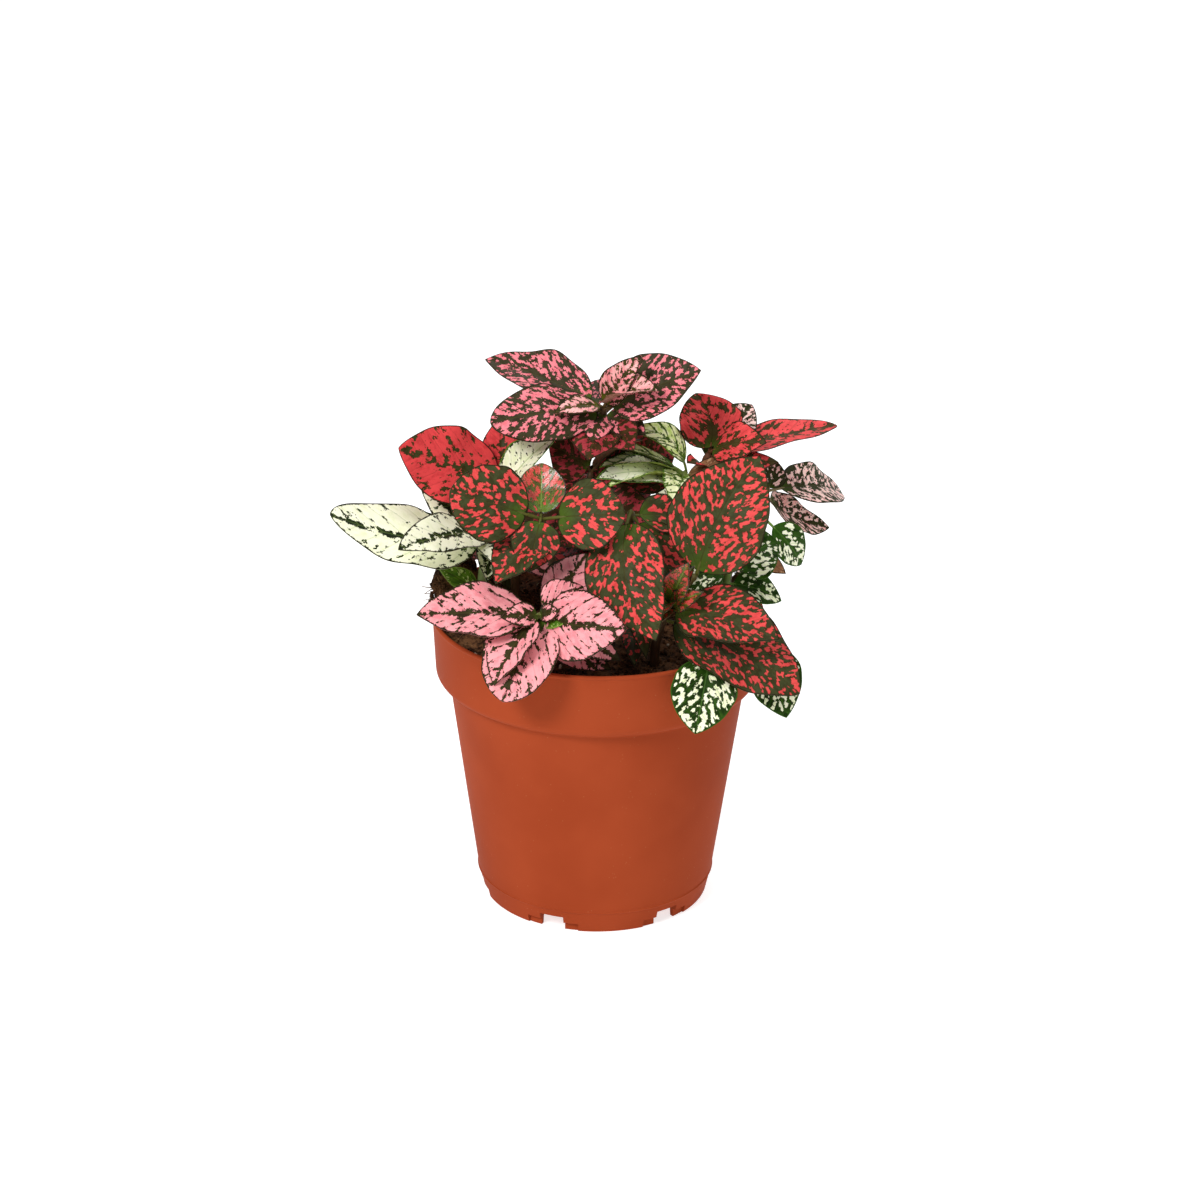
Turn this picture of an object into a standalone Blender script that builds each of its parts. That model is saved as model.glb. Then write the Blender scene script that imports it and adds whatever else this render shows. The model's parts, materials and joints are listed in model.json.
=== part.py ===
"""Potted polka dot plant: a nursery pot, the soil in it and the leafy stems.

The origin is the middle of the pot's foot, on the surface that it stands on.
+Z is up and the side that the photograph shows looks along -Y.
Places of leaves and stems are written in millimetres.
"""
from __future__ import annotations

import itertools
import logging
import math
import random
from dataclasses import dataclass, replace
from typing import Iterable, Sequence

import bmesh
import bpy
from mathutils import Matrix, Vector
from mathutils.bvhtree import BVHTree

log = logging.getLogger("polka_dot_plant")

MM = 0.001
GAP = 0.3

# Pot, in millimetres
POT_HEIGHT = 109.0
RIM_RADIUS = 60.0
COLLAR_FOOT_Z = 86.0
COLLAR_FOOT_RADIUS = 58.4
BODY_TOP_Z = 83.2
BODY_TOP_RADIUS = 53.6
BODY_FOOT_Z = 8.0
BODY_FOOT_RADIUS = 43.2
FOOT_RADIUS = 41.4
LINE_HEIGHT = 1.0
LINE_DEPTH = 0.5
LIP_HEIGHT = 1.0
LIP_DEPTH = 0.5
WALL = 1.4
FLOOR_Z = 3.0
FLOOR_THICKNESS = 1.6
FOOT_RING_WIDTH = 2.4
NOTCH_COUNT = 6
NOTCH_START = math.radians(-21.5)
NOTCH_WIDTH = 9.0
NOTCH_TOP_Z = 5.6
DRAIN_RADIUS = 4.0
DRAIN_CIRCLE = 29.0
EDGE_ROUND = 0.4
STEP_ROUND = 1.0
FOOT_ROUND = 0.3
POT_SIDES = 48

# Soil, in millimetres
SOIL_Z = 103.0
SOIL_EDGE_DROP = 1.5
SOIL_SIDES = 36
SOIL_RINGS = (14.0, 28.0, 40.0, 50.0)
MOUND_MIDDLE = (-52.0, 11.0)
MOUND_SPREAD = 16.0
MOUND_HEIGHT = 20.0
MOUND_OVERHANG = 2.6
SHOULDER_DROP = 3.0
HEAP_SPAN = 8.0
CLOD_HEIGHT = 1.1
ROOT_DEPTH = 12.0
HOLE_SIDES = 8
SOIL_EDGE_RADIUS = RIM_RADIUS - WALL - GAP - 0.6
SOIL_SHELF_UP = 1.9
SOIL_STEP_UP = 1.5

# Leaves and stems, in millimetres
STEM_ROOT_RADIUS = 1.8
STEM_TOP_RADIUS = 1.25
KNEE_SHARE = 0.55
BUD_LENGTH = 0.9
STEM_SIDES = 6
STEM_STEPS = 5
STALK_RADIUS = 0.85
STALK_RISE = 0.12
STALK_PAST = 0.6
STALK_SIDES = 5
BLADE = 0.8
EDGE_WAVE = 0.03
WAVES = 2.3
TIP_HALF_WIDTH = 0.4
PETIOLE_HALF_WIDTH = 0.85
LARGE_LEAF = 22.0
SMALL_LEAF = 12.0
LARGE_STATIONS = (0.0, 0.12, 0.32, 0.54, 0.76, 0.92, 1.0)
MIDDLE_STATIONS = (0.0, 0.2, 0.5, 0.8, 1.0)
SMALL_STATIONS = (0.0, 0.3, 0.7, 1.0)
BEND_STEP = 4
BEND_LIMIT = 36
TURN_LIMIT = 16

Triple = tuple[float, float, float]
Mesh = tuple[list[Vector], list[tuple[int, ...]]]


@dataclass(frozen=True)
class Leaf:
    """One leaf: where it leaves its stem, where its tip is and how it lies.

    Attributes:
        at: Place along the stem, from 0 at the soil to 1 at the top.
        tip: Place of the tip.
        width: Full width of the blade.
        face: Way that the upper side looks.
        arch: Rise of the middle of the leaf, as a share of its length.
        fold: Rise of the two halves away from the midrib, per unit of width.
        bow: Sideways bend of the midrib.
        petiole: Share of the length without a blade.
        blunt: 0 for a pointed leaf and 1 for a round one.
        base: Where the blade's petiole starts, when a long stalk leads to it.
    """

    at: float
    tip: Triple
    width: float
    face: Triple
    arch: float = 0.1
    fold: float = 0.2
    bow: float = 0.0
    petiole: float = 0.12
    blunt: float = 0.15
    base: Triple | None = None


@dataclass(frozen=True)
class Stem:
    """One leafy stem with its leaves.

    Attributes:
        name: Name of the stem's solid.
        root: Place in the soil, seen from above.
        top: Place of the topmost pair of leaves.
        colour: Plain colour of the solid.
        leaves: The leaves, topmost first.
    """

    name: str
    root: tuple[float, float]
    top: Triple
    colour: Triple
    leaves: tuple[Leaf, ...]


POT_COLOUR = (0.43, 0.08, 0.03)
POT_ROUGHNESS = 0.45
SOIL_COLOUR = (0.05, 0.03, 0.02)
SOIL_ROUGHNESS = 0.95
LEAF_ROUGHNESS = 0.5
ROSE = (0.28, 0.10, 0.12)
RED = (0.45, 0.05, 0.06)
RED_GREEN = (0.25, 0.09, 0.06)
WHITE = (0.72, 0.75, 0.60)
PINK = (0.78, 0.36, 0.42)
WHITE_GREEN = (0.22, 0.30, 0.15)
BLUSH = (0.55, 0.32, 0.33)

FRONT_STEMS = (
    Stem("leafy_stem_rose_top", (-2, 8), (1, 5, 184), ROSE, (
        Leaf(1.0, (-41, 18, 197), 25, (-0.05, -0.3, 0.95), arch=0.05),
        Leaf(0.98, (-38, -13, 184), 22, (-0.25, -0.75, 0.6), fold=-0.05, blunt=0.85),
        Leaf(1.0, (14, -3, 206), 12, (-0.4, -0.85, 0.3), fold=0.3),
        Leaf(0.99, (35, 0, 200), 26, (0.2, -0.6, 0.77), arch=0.03),
        Leaf(1.0, (20, -14, 197), 14, (0.1, -0.5, 0.85), fold=0.6),
        Leaf(1.0, (-16, -10, 187), 9, (-0.1, -0.6, 0.8)),
        Leaf(0.92, (-4, -16, 172), 20, (-0.1, -0.8, 0.5)),
        Leaf(0.92, (12, -14, 175), 17, (0.1, -0.8, 0.5)),
        Leaf(0.96, (16, -6, 178), 13, (0.1, -0.7, 0.7)),
        Leaf(0.97, (-3, -9, 176), 12, (0, -0.8, 0.6)),
        Leaf(0.97, (-17, 45, 176), 24, (-0.1, 0.3, 0.95)),
        Leaf(0.96, (23, 41, 176), 23, (0.2, 0.3, 0.9)),
    )),
    Stem("leafy_stem_red_left", (-30, 12), (-33, 2, 156), RED, (
        Leaf(1.0, (-70, -14, 175), 28, (-0.4, -0.75, 0.55), arch=0, fold=0.05, blunt=0.4),
        Leaf(0.98, (-36, 12, 177), 15, (-0.1, -0.8, 0.6)),
        Leaf(0.95, (-62, 30, 150), 22, (-0.3, 0.2, 0.95)),
        Leaf(0.8, (-38, 42, 146), 22, (0.0, 0.3, 0.95)),
    )),
    Stem("leafy_stem_red_green_centre", (-14, -18), (-20, -30, 156), RED_GREEN, (
        Leaf(0.98, (-51, -40, 169), 27, (-0.25, -0.85, 0.45), petiole=0.28, blunt=0.85),
        Leaf(1.0, (-20, -22, 173), 17, (0, -0.85, 0.45), blunt=0.5, fold=0.3),
        Leaf(1.0, (-24, -44, 141), 18, (0, -0.85, 0.5)),
        Leaf(0.98, (9, -38, 160), 25, (0.2, -0.8, 0.5), blunt=0.8, petiole=0.3),
        Leaf(0.85, (-35, -52, 140), 19, (-0.1, -0.5, 0.85)),
    )),
    Stem("leafy_stem_white_left", (-42, -2), (-35, 0, 151), WHITE, (
        Leaf(0.62, (-93.3, -26, 154.5), 27, (-0.1, -0.55, 0.83), arch=0, fold=0.05, bow=5, blunt=0.75),
        Leaf(0.66, (-68, -52, 152), 18, (-0.1, -0.75, 0.65), arch=0.06, blunt=0.4),
        Leaf(0.66, (-63, -2, 155), 18, (-0.4, -0.5, 0.75)),
        Leaf(0.6, (-34, -28, 136), 15, (0.2, -0.8, 0.5), blunt=0.5),
        Leaf(0.55, (-39, -20, 127), 9, (0.1, -0.9, 0.4), fold=0.9),
        Leaf(1.0, (-14, -6, 178), 15, (-0.5, -0.6, 0.6), fold=0.5),
        Leaf(0.08, (-57, 0, 124), 10, (-0.1, -0.4, 0.9)),
    )),
    Stem("leafy_stem_pink_front", (-14, -34), (-20, -48, 127), PINK, (
        Leaf(1.0, (-62, -54, 129), 24, (-0.1, -0.5, 0.85), arch=0.02),
        Leaf(1.0, (-33, -58, 130), 9, (-0.1, -0.85, 0.5)),
        Leaf(1.0, (-13, -54, 131), 7, (0.1, -0.85, 0.5)),
        Leaf(0.98, (-5, -44, 136), 15, (-0.1, -0.8, 0.6), arch=0.15),
        Leaf(0.96, (10, -64, 129), 25, (0.3, -0.9, 0.35), fold=0.1, bow=-1.5),
        Leaf(0.98, (-35, -68, 109), 18, (-0.5, -0.7, 0.5), fold=0.4),
        Leaf(0.9, (-32, -70, 104), 26, (-0.2, -0.8, 0.55), blunt=0.9),
        Leaf(0.45, (0, -50, 107), 14, (0, -0.8, 0.6)),
        Leaf(0.7, (8, -50, 111), 12, (0.1, -0.8, 0.6)),
        Leaf(0.8, (-4, -26, 141), 17, (0, -0.7, 0.7)),
    )),
    Stem("leafy_stem_red_green_middle", (12, -14), (11, -28, 158), RED_GREEN, (
        Leaf(1.0, (20, -58, 122), 28, (-0.1, -0.8, 0.6), bow=-6),
        Leaf(0.97, (30, -32, 125), 21, (0.3, -0.8, 0.5)),
        Leaf(0.35, (17, -46, 110), 9, (0, -0.7, 0.7)),
        Leaf(0.95, (32, -16, 149), 16, (0.1, -0.6, 0.8)),
    )),
    Stem("leafy_stem_red_green_right", (20, -34), (34, -37, 138), RED_GREEN, (
        Leaf(1.0, (55, -26, 178), 35, (0, -0.95, 0.3), bow=3, petiole=0.05),
        Leaf(0.55, (62, -58, 123), 25, (0.15, -0.6, 0.8)),
        Leaf(0.45, (70, -54, 101), 32, (0.3, -0.6, 0.7), blunt=0.5),
        Leaf(0.6, (33, -46, 145), 9, (-0.2, -0.8, 0.4), fold=0.6),
        Leaf(0.58, (22, -48, 125), 8, (-0.2, -0.6, 0.8)),
        Leaf(0.58, (22, -34, 128), 6, (-0.2, -0.6, 0.8)),
    )),
    Stem("leafy_stem_white_green_right", (44, -16), (46, -18, 134), WHITE_GREEN, (
        Leaf(0.1, (34, -62, 89), 23, (0, -0.95, 0.3), blunt=0.3, base=(39, -48, 114)),
        Leaf(0.15, (66, -50, 90), 20, (0.2, -0.85, 0.4), base=(56, -36, 113)),
        Leaf(0.75, (65, -14, 119), 14, (0.2, -0.5, 0.8)),
        Leaf(1.0, (63, -12, 141), 22, (0.2, -0.7, 0.7)),
        Leaf(0.95, (24, -24, 128), 20, (-0.1, -0.6, 0.8)),
        Leaf(0.9, (73, 8, 124), 14, (0.3, -0.8, 0.5), base=(60, 2, 143)),
    )),
    Stem("leafy_stem_red_right", (28, 14), (39, 15, 164), RED, (
        Leaf(1.0, (34, 22, 184), 23, (-0.1, -0.75, 0.65), blunt=0.4, bow=-3),
        Leaf(1.0, (59, 4, 172), 17, (0, -0.6, 0.8)),
        Leaf(0.96, (86, 34, 168), 18, (0, -0.15, 1), arch=0.03, blunt=0.6),
        Leaf(0.9, (55, 36, 175), 19, (0, -0.7, 0.7)),
        Leaf(0.85, (64, 14, 161), 11, (0.1, -0.6, 0.8)),
        Leaf(0.9, (31, 4, 164), 8, (-0.1, -0.6, 0.8)),
    )),
    Stem("leafy_stem_blush_right", (46, 16), (61, 22, 147), BLUSH, (
        Leaf(1.0, (91.4, 64, 130), 19, (0.2, -0.6, 0.75), arch=0.08),
        Leaf(0.97, (85, 40, 126), 17, (0.1, -0.5, 0.85), arch=-0.09),
        Leaf(1.0, (64, 26, 157), 10, (0.2, -0.9, 0.3)),
        Leaf(0.5, (68, 14, 118), 9, (0.2, -0.7, 0.7)),
        Leaf(0.35, (65, 0, 113), 6, (0.2, -0.7, 0.7)),
    )),
    Stem("leafy_stem_white_back", (16, 10), (31, 12, 158), WHITE, (
        Leaf(1.0, (10, 14, 173), 13, (0.3, -0.4, 0.85), arch=0.28),
        Leaf(0.97, (0, -4, 165), 15, (0, 0.05, 1)),
        Leaf(0.93, (-1, -10, 163), 14, (0, -0.5, 0.85)),
        Leaf(0.96, (26, -10, 152), 15, (0, -0.9, 0.4), fold=0.6),
        Leaf(0.9, (3, -14, 161), 15, (0, 0.3, 0.93)),
    )),
    Stem("leafy_stem_red_middle", (-8, -2), (-3, 3, 161), RED, (
        Leaf(1.0, (-18, 1, 172), 20, (-0.2, -0.7, 0.65)),
        Leaf(0.9, (-11, -12, 154), 17, (-0.1, -0.8, 0.5)),
        Leaf(0.98, (18, -3, 172), 12, (0.1, 0.2, 0.95)),
        Leaf(0.75, (-28, -3, 146), 20, (-0.2, -0.8, 0.5)),
        Leaf(0.75, (20, -3, 146), 20, (0.2, -0.8, 0.5)),
        Leaf(0.55, (1, -20, 132), 18, (0, -0.8, 0.6)),
        Leaf(0.6, (-14, -17, 140), 17, (0, -0.8, 0.6)),
    )),
)


@dataclass(frozen=True)
class BackStem:
    """A leafy stem on the side that the photograph doesn't show.

    Attributes:
        name: Name of the stem's solid.
        root: Place in the soil, seen from above.
        top: Place of the topmost pair of leaves.
        colour: Plain colour of the solid.
        heading: Direction of the first leaf, seen from above, in degrees.
        reach: Length of the longest leaves.
        levels: Number of pairs of leaves.
    """

    name: str
    root: tuple[float, float]
    top: Triple
    colour: Triple
    heading: float
    reach: float
    levels: int = 4


PAIR_SPACING = 0.24
PAIR_LENGTHS = (0.62, 1.0, 1.0, 0.85)
PAIR_PITCHES = (38, 12, -4, -8)

BACK_STEMS = (
    BackStem("leafy_stem_pink_back_left", (-34, 30), (-46, 36, 130), PINK, 140, 30),
    BackStem("leafy_stem_red_back", (-8, 32), (-10, 46, 138), RED, 95, 30),
    BackStem("leafy_stem_white_back_right", (16, 36), (24, 52, 124), WHITE, 60, 28),
    BackStem("leafy_stem_rose_back_right", (36, 34), (50, 50, 122), ROSE, 20, 30),
    BackStem("leafy_stem_red_green_right_side", (46, 21), (56, 26, 117), RED_GREEN, 10, 16, 2),
    BackStem("leafy_stem_red_green_back_left", (-46, 18), (-58, 28, 126), RED_GREEN, 170, 18, 2),
)


def rotated(vector: Vector, axis: Vector, degrees: float) -> Vector:
    """Turn a vector about an axis.

    Args:
        vector: The vector to turn.
        axis: The axis to turn it about.
        degrees: The angle.

    Returns:
        The turned vector.
    """
    return Matrix.Rotation(math.radians(degrees), 3, axis) @ vector


def ring_profile() -> list[tuple[float, float]]:
    """Work out the pot's half section.

    Returns:
        Radius and height of each corner, down the outside and up the inside.
    """
    inner_body_top = BODY_TOP_RADIUS - WALL
    inner_body_foot = BODY_FOOT_RADIUS - WALL - EDGE_ROUND
    floor_top = FLOOR_Z + FLOOR_THICKNESS
    return [
        (RIM_RADIUS - EDGE_ROUND, POT_HEIGHT),
        (RIM_RADIUS, POT_HEIGHT - EDGE_ROUND),
        (RIM_RADIUS, POT_HEIGHT - LIP_HEIGHT),
        (RIM_RADIUS - LIP_DEPTH, POT_HEIGHT - LIP_HEIGHT - LIP_DEPTH),
        (COLLAR_FOOT_RADIUS, COLLAR_FOOT_Z + STEP_ROUND),
        (COLLAR_FOOT_RADIUS - STEP_ROUND, COLLAR_FOOT_Z - 0.6 * STEP_ROUND),
        (BODY_TOP_RADIUS + 0.6 * STEP_ROUND, BODY_TOP_Z + 0.8 * STEP_ROUND),
        (BODY_TOP_RADIUS, BODY_TOP_Z),
        (BODY_FOOT_RADIUS + 0.1, BODY_FOOT_Z + LINE_HEIGHT),
        (BODY_FOOT_RADIUS + LINE_DEPTH, BODY_FOOT_Z + LINE_HEIGHT / 2),
        (BODY_FOOT_RADIUS - 0.1, BODY_FOOT_Z),
        (FOOT_RADIUS, FOOT_ROUND),
        (FOOT_RADIUS - FOOT_ROUND, 0.0),
        (FOOT_RADIUS - FOOT_RING_WIDTH, 0.0),
        (FOOT_RADIUS - FOOT_RING_WIDTH - FOOT_ROUND, FLOOR_Z),
        (0.0, FLOOR_Z),
        (0.0, floor_top),
        (inner_body_foot, floor_top),
        (inner_body_top, BODY_TOP_Z + 1.2 * STEP_ROUND),
        (COLLAR_FOOT_RADIUS - WALL, COLLAR_FOOT_Z + 1.4 * STEP_ROUND),
        (RIM_RADIUS - WALL, POT_HEIGHT),
    ]


def turned(profile: Sequence[tuple[float, float]], sides: int) -> Mesh:
    """Turn a half section about the vertical axis.

    Args:
        profile: Radius and height of each corner; radius 0 closes the end.
        sides: Number of steps around.

    Returns:
        Points and faces of the closed solid.
    """
    return skinned([ring(radius, height, sides) for radius, height in profile], sides)


def ring(radius: float, height: float, sides: int) -> list[Vector]:
    """List the points of a level ring.

    Args:
        radius: Its radius; 0 gives a single point.
        height: Its height.
        sides: Number of steps around.

    Returns:
        The points.
    """
    angles = [2 * math.pi * step / sides for step in range(1 if radius == 0.0 else sides)]
    return [Vector((radius * math.cos(angle), radius * math.sin(angle), height)) for angle in angles]


def skinned(rings: Sequence[list[Vector]], sides: int) -> Mesh:
    """Join rings by faces, and the last ring to the first where neither is a single point.

    Args:
        rings: Rings of points, where a single point closes an end.
        sides: Number of points of a whole ring.

    Returns:
        Points and faces of the closed solid.
    """
    points: list[Vector] = []
    rows: list[range] = []
    for places in rings:
        rows.append(range(len(points), len(points) + len(places)))
        points.extend(places)
    faces: list[tuple[int, ...]] = []
    for lower, upper in zip(rows, rows[1:] + rows[:1]):
        if len(lower) == 1 and len(upper) == 1:
            continue
        for step in range(sides):
            following = (step + 1) % sides
            corners = [
                lower[step % len(lower)],
                upper[step % len(upper)],
                upper[following % len(upper)],
                lower[following % len(lower)],
            ]
            faces.append(tuple(dict.fromkeys(corners)))
    return points, faces


def make_object(name: str, shape: Mesh) -> bpy.types.Object:
    """Put a closed solid, given in millimetres, in the scene.

    Args:
        name: Name of the object.
        shape: Its points and faces.

    Returns:
        The object, with its faces pointing out.
    """
    points, faces = shape
    mesh = bpy.data.meshes.new(name)
    mesh.from_pydata([point * MM for point in points], [], faces)
    builder = bmesh.new()
    builder.from_mesh(mesh)
    bmesh.ops.recalc_face_normals(builder, faces=builder.faces)
    bmesh.ops.triangulate(builder, faces=[face for face in builder.faces if len(face.verts) > 4])
    builder.to_mesh(mesh)
    builder.free()
    item = bpy.data.objects.new(name, mesh)
    bpy.context.scene.collection.objects.link(item)
    return item


def finish_look(item: bpy.types.Object, colour: Triple, roughness: float) -> None:
    """Give an object its own plain material and smooth shading.

    Args:
        item: The object.
        colour: Linear base colour.
        roughness: Roughness of the surface.
    """
    material = bpy.data.materials.new(item.name + "_finish")
    material.use_nodes = True
    shader = material.node_tree.nodes["Principled BSDF"]
    shader.inputs["Base Color"].default_value = (*colour, 1.0)
    shader.inputs["Roughness"].default_value = roughness
    shader.inputs["Metallic"].default_value = 0.0
    item.data.materials.clear()
    item.data.materials.append(material)
    item.data.shade_smooth()
    item.data.set_sharp_from_angle(angle=math.radians(35))


def combine(target: bpy.types.Object, others: Iterable[bpy.types.Object], operation: str) -> None:
    """Join other solids to a solid, or cut them from it, and remove them.

    Args:
        target: The solid that stays.
        others: The solids that are used up.
        operation: Either "UNION" or "DIFFERENCE".
    """
    group = bpy.data.collections.new(target.name + "_operands")
    bpy.context.scene.collection.children.link(group)
    members = list(others)
    for member in members:
        bpy.context.scene.collection.objects.unlink(member)
        group.objects.link(member)
    modifier = target.modifiers.new("combine", "BOOLEAN")
    modifier.operation = operation
    modifier.operand_type = "COLLECTION"
    modifier.collection = group
    modifier.solver = "EXACT"
    evaluated = target.evaluated_get(bpy.context.evaluated_depsgraph_get())
    result = bpy.data.meshes.new_from_object(evaluated)
    target.modifiers.clear()
    target.data = result
    for member in members:
        bpy.data.objects.remove(member)
    bpy.data.collections.remove(group)


def upright_rod(name: str, place: tuple[float, float], radius: float, low: float, high: float,
                sides: int) -> bpy.types.Object:
    """Make a plain round rod that stands upright.

    Args:
        name: Name of the object.
        place: Its middle, seen from above.
        radius: Its radius.
        low: Height of its lower end.
        high: Height of its upper end.
        sides: Number of its sides.

    Returns:
        The rod.
    """
    points, faces = turned([(0.0, high), (radius, high), (radius, low), (0.0, low)], sides)
    offset = Vector((place[0], place[1], 0.0))
    return make_object(name, ([point + offset for point in points], faces))


def notch_cutter(angle: float) -> bpy.types.Object:
    """Make the block that cuts one notch in the foot ring.

    Args:
        angle: Direction of the notch, measured from the front.

    Returns:
        The block.
    """
    inner = FOOT_RADIUS - FOOT_RING_WIDTH - 1.2
    outer = FOOT_RADIUS + 4.0
    half = NOTCH_WIDTH / 2
    corners = [
        Vector((side * half, -radius, height))
        for height in (-1.0, NOTCH_TOP_Z)
        for radius in (inner, outer)
        for side in (-1, 1)
    ]
    faces = [(0, 1, 3, 2), (4, 6, 7, 5), (0, 4, 5, 1), (2, 3, 7, 6), (0, 2, 6, 4), (1, 5, 7, 3)]
    spin = Matrix.Rotation(angle, 3, "Z")
    return make_object("notch", ([spin @ corner for corner in corners], faces))


def make_pot() -> bpy.types.Object:
    """Make the nursery pot with its foot notches and drain holes.

    Returns:
        The pot.
    """
    pot = make_object("pot", turned(ring_profile(), POT_SIDES))
    cutters = []
    for number in range(NOTCH_COUNT):
        angle = NOTCH_START + 2 * math.pi * number / NOTCH_COUNT
        cutters.append(notch_cutter(angle))
        middle = (DRAIN_CIRCLE * math.sin(angle), -DRAIN_CIRCLE * math.cos(angle))
        cutters.append(upright_rod("drain", middle, DRAIN_RADIUS, 1.0, FLOOR_Z + 4.0, 12))
    combine(pot, cutters, "DIFFERENCE")
    finish_look(pot, POT_COLOUR, POT_ROUGHNESS)
    return pot


def soil_height(x: float, y: float) -> float:
    """Work out the height of the soil's surface.

    Args:
        x: Place along X.
        y: Place along Y.

    Returns:
        The height.
    """
    radius = math.hypot(x, y)
    away = math.hypot(x - MOUND_MIDDLE[0], y - MOUND_MIDDLE[1])
    mound = MOUND_HEIGHT * math.exp(-((away / MOUND_SPREAD) ** 2))
    clods = CLOD_HEIGHT * math.sin(0.21 * x + 1.3) * math.cos(0.27 * y - 0.4)
    edge = SOIL_EDGE_DROP * (radius / RIM_RADIUS) ** 4
    return SOIL_Z + mound + clods - edge


def soil_rings() -> list[list[Vector]]:
    """Work out the soil's rings of points, from the middle of its surface down to its underside.

    The edge leans out over the rim where the soil is heaped above it.

    Returns:
        The rings, with a single point at each end.
    """
    rings = [ring(radius, 0.0, SOIL_SIDES) for radius in (0.0, *SOIL_RINGS)]
    edge = ring(SOIL_EDGE_RADIUS, 0.0, SOIL_SIDES)
    shoulder = ring(SOIL_EDGE_RADIUS, 0.0, SOIL_SIDES)
    for point in [point for places in rings for point in places]:
        point.z = soil_height(point.x, point.y)
    for outer, inner in zip(edge, shoulder):
        outer.z = soil_height(outer.x, outer.y)
        inner.z = min(outer.z - SHOULDER_DROP, POT_HEIGHT + GAP)
        heaped = min(1.0, max(0.0, (outer.z - POT_HEIGHT) / HEAP_SPAN))
        outer.xy *= 1.0 + MOUND_OVERHANG * heaped / SOIL_EDGE_RADIUS
    side = [
        (COLLAR_FOOT_RADIUS - WALL - GAP, COLLAR_FOOT_Z + SOIL_SHELF_UP),
        (BODY_TOP_RADIUS - WALL - GAP, BODY_TOP_Z + SOIL_STEP_UP),
        (BODY_FOOT_RADIUS - WALL - EDGE_ROUND - GAP, FLOOR_Z + FLOOR_THICKNESS + GAP),
        (0.0, FLOOR_Z + FLOOR_THICKNESS + GAP),
    ]
    return [*rings, edge, shoulder, *(ring(radius, height, SOIL_SIDES) for radius, height in side)]


def make_soil(roots: Iterable[tuple[float, float]]) -> bpy.types.Object:
    """Make the soil with a plain hole for each stem.

    Args:
        roots: Place of each stem.

    Returns:
        The soil.
    """
    soil = make_object("soil", skinned(soil_rings(), SOIL_SIDES))
    holes = []
    for x, y in roots:
        low = soil_height(x, y) - ROOT_DEPTH - GAP
        high = SOIL_Z + 2 * MOUND_HEIGHT
        holes.append(upright_rod("hole", (x, y), STEM_ROOT_RADIUS + GAP, low, high, HOLE_SIDES))
    combine(soil, holes, "DIFFERENCE")
    finish_look(soil, SOIL_COLOUR, SOIL_ROUGHNESS)
    return soil


class StemPath:
    """The middle line of a stem, from its root to its topmost leaves."""

    def __init__(self, root: tuple[float, float], top: Triple) -> None:
        """Settle the path.

        Args:
            root: Place in the soil, seen from above.
            top: Place of the topmost pair of leaves.
        """
        ground = soil_height(*root)
        self.foot = Vector((root[0], root[1], ground - ROOT_DEPTH))
        self.start = Vector((root[0], root[1], ground + 1.0))
        self.top = Vector(top)
        self.knee = Vector((root[0], root[1], ground + KNEE_SHARE * (top[2] - ground)))

    def at(self, share: float) -> Vector:
        """Find a place on the stem.

        Args:
            share: 0 at the soil and 1 at the topmost leaves.

        Returns:
            The place.
        """
        rest = 1.0 - share
        return self.start * rest * rest + self.knee * 2 * rest * share + self.top * share * share

    def points(self) -> list[Vector]:
        """List places along the stem.

        Returns:
            The places, from the root up.
        """
        above = [self.at(step / STEM_STEPS) for step in range(STEM_STEPS + 1)]
        end = above[-1] + (above[-1] - above[-2]).normalized() * BUD_LENGTH
        return [self.foot, *above[:-1], end]


def tube(path: Sequence[Vector], radii: Sequence[float], sides: int) -> Mesh:
    """Make a round bar along a path.

    Args:
        path: Places along its middle.
        radii: Radius at each place.
        sides: Number of its sides.

    Returns:
        Points and faces of the closed solid.
    """
    points: list[Vector] = []
    across = Vector((1.0, 0.0, 0.0))
    for number, (place, radius) in enumerate(zip(path, radii)):
        along = (path[min(number + 1, len(path) - 1)] - path[max(number - 1, 0)]).normalized()
        across = (across - along * across.dot(along)).normalized()
        other = along.cross(across)
        for step in range(sides):
            angle = 2 * math.pi * (step + 0.5) / sides
            points.append(place + (across * math.cos(angle) + other * math.sin(angle)) * radius)
    faces: list[tuple[int, ...]] = []
    for number in range(len(path) - 1):
        low = number * sides
        for step in range(sides):
            following = (step + 1) % sides
            faces.append((low + step, low + following, low + sides + following, low + sides + step))
    last = (len(path) - 1) * sides
    faces.append(tuple(reversed(range(sides))))
    faces.append(tuple(range(last, last + sides)))
    return points, faces


def stem_tube(path: StemPath) -> Mesh:
    """Make the stem's own bar.

    Args:
        path: The stem's middle line.

    Returns:
        Points and faces of the closed solid.
    """
    places = path.points()
    last = len(places) - 1
    span = STEM_TOP_RADIUS - STEM_ROOT_RADIUS
    radii = [STEM_ROOT_RADIUS + span * max(0, number - 1) / (last - 1) for number in range(last + 1)]
    return tube(places, radii, STEM_SIDES)


def stations_for(width: float) -> tuple[float, ...]:
    """Choose the places along a blade where it has points.

    Args:
        width: The blade's full width.

    Returns:
        Shares of the blade's length.
    """
    if width >= LARGE_LEAF:
        return LARGE_STATIONS
    return MIDDLE_STATIONS if width >= SMALL_LEAF else SMALL_STATIONS


def half_width(leaf: Leaf, share: float) -> float:
    """Work out a blade's half width.

    Args:
        leaf: The leaf.
        share: Share of the blade's length.

    Returns:
        The half width.
    """
    rise = 0.6 - 0.1 * leaf.blunt
    fall = 0.95 - 0.45 * leaf.blunt
    peak = rise / (rise + fall)
    highest = peak ** rise * (1 - peak) ** fall
    smallest = PETIOLE_HALF_WIDTH if share < peak else TIP_HALF_WIDTH
    return max(smallest, leaf.width / 2 * share ** rise * (1 - share) ** fall / highest)


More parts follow.
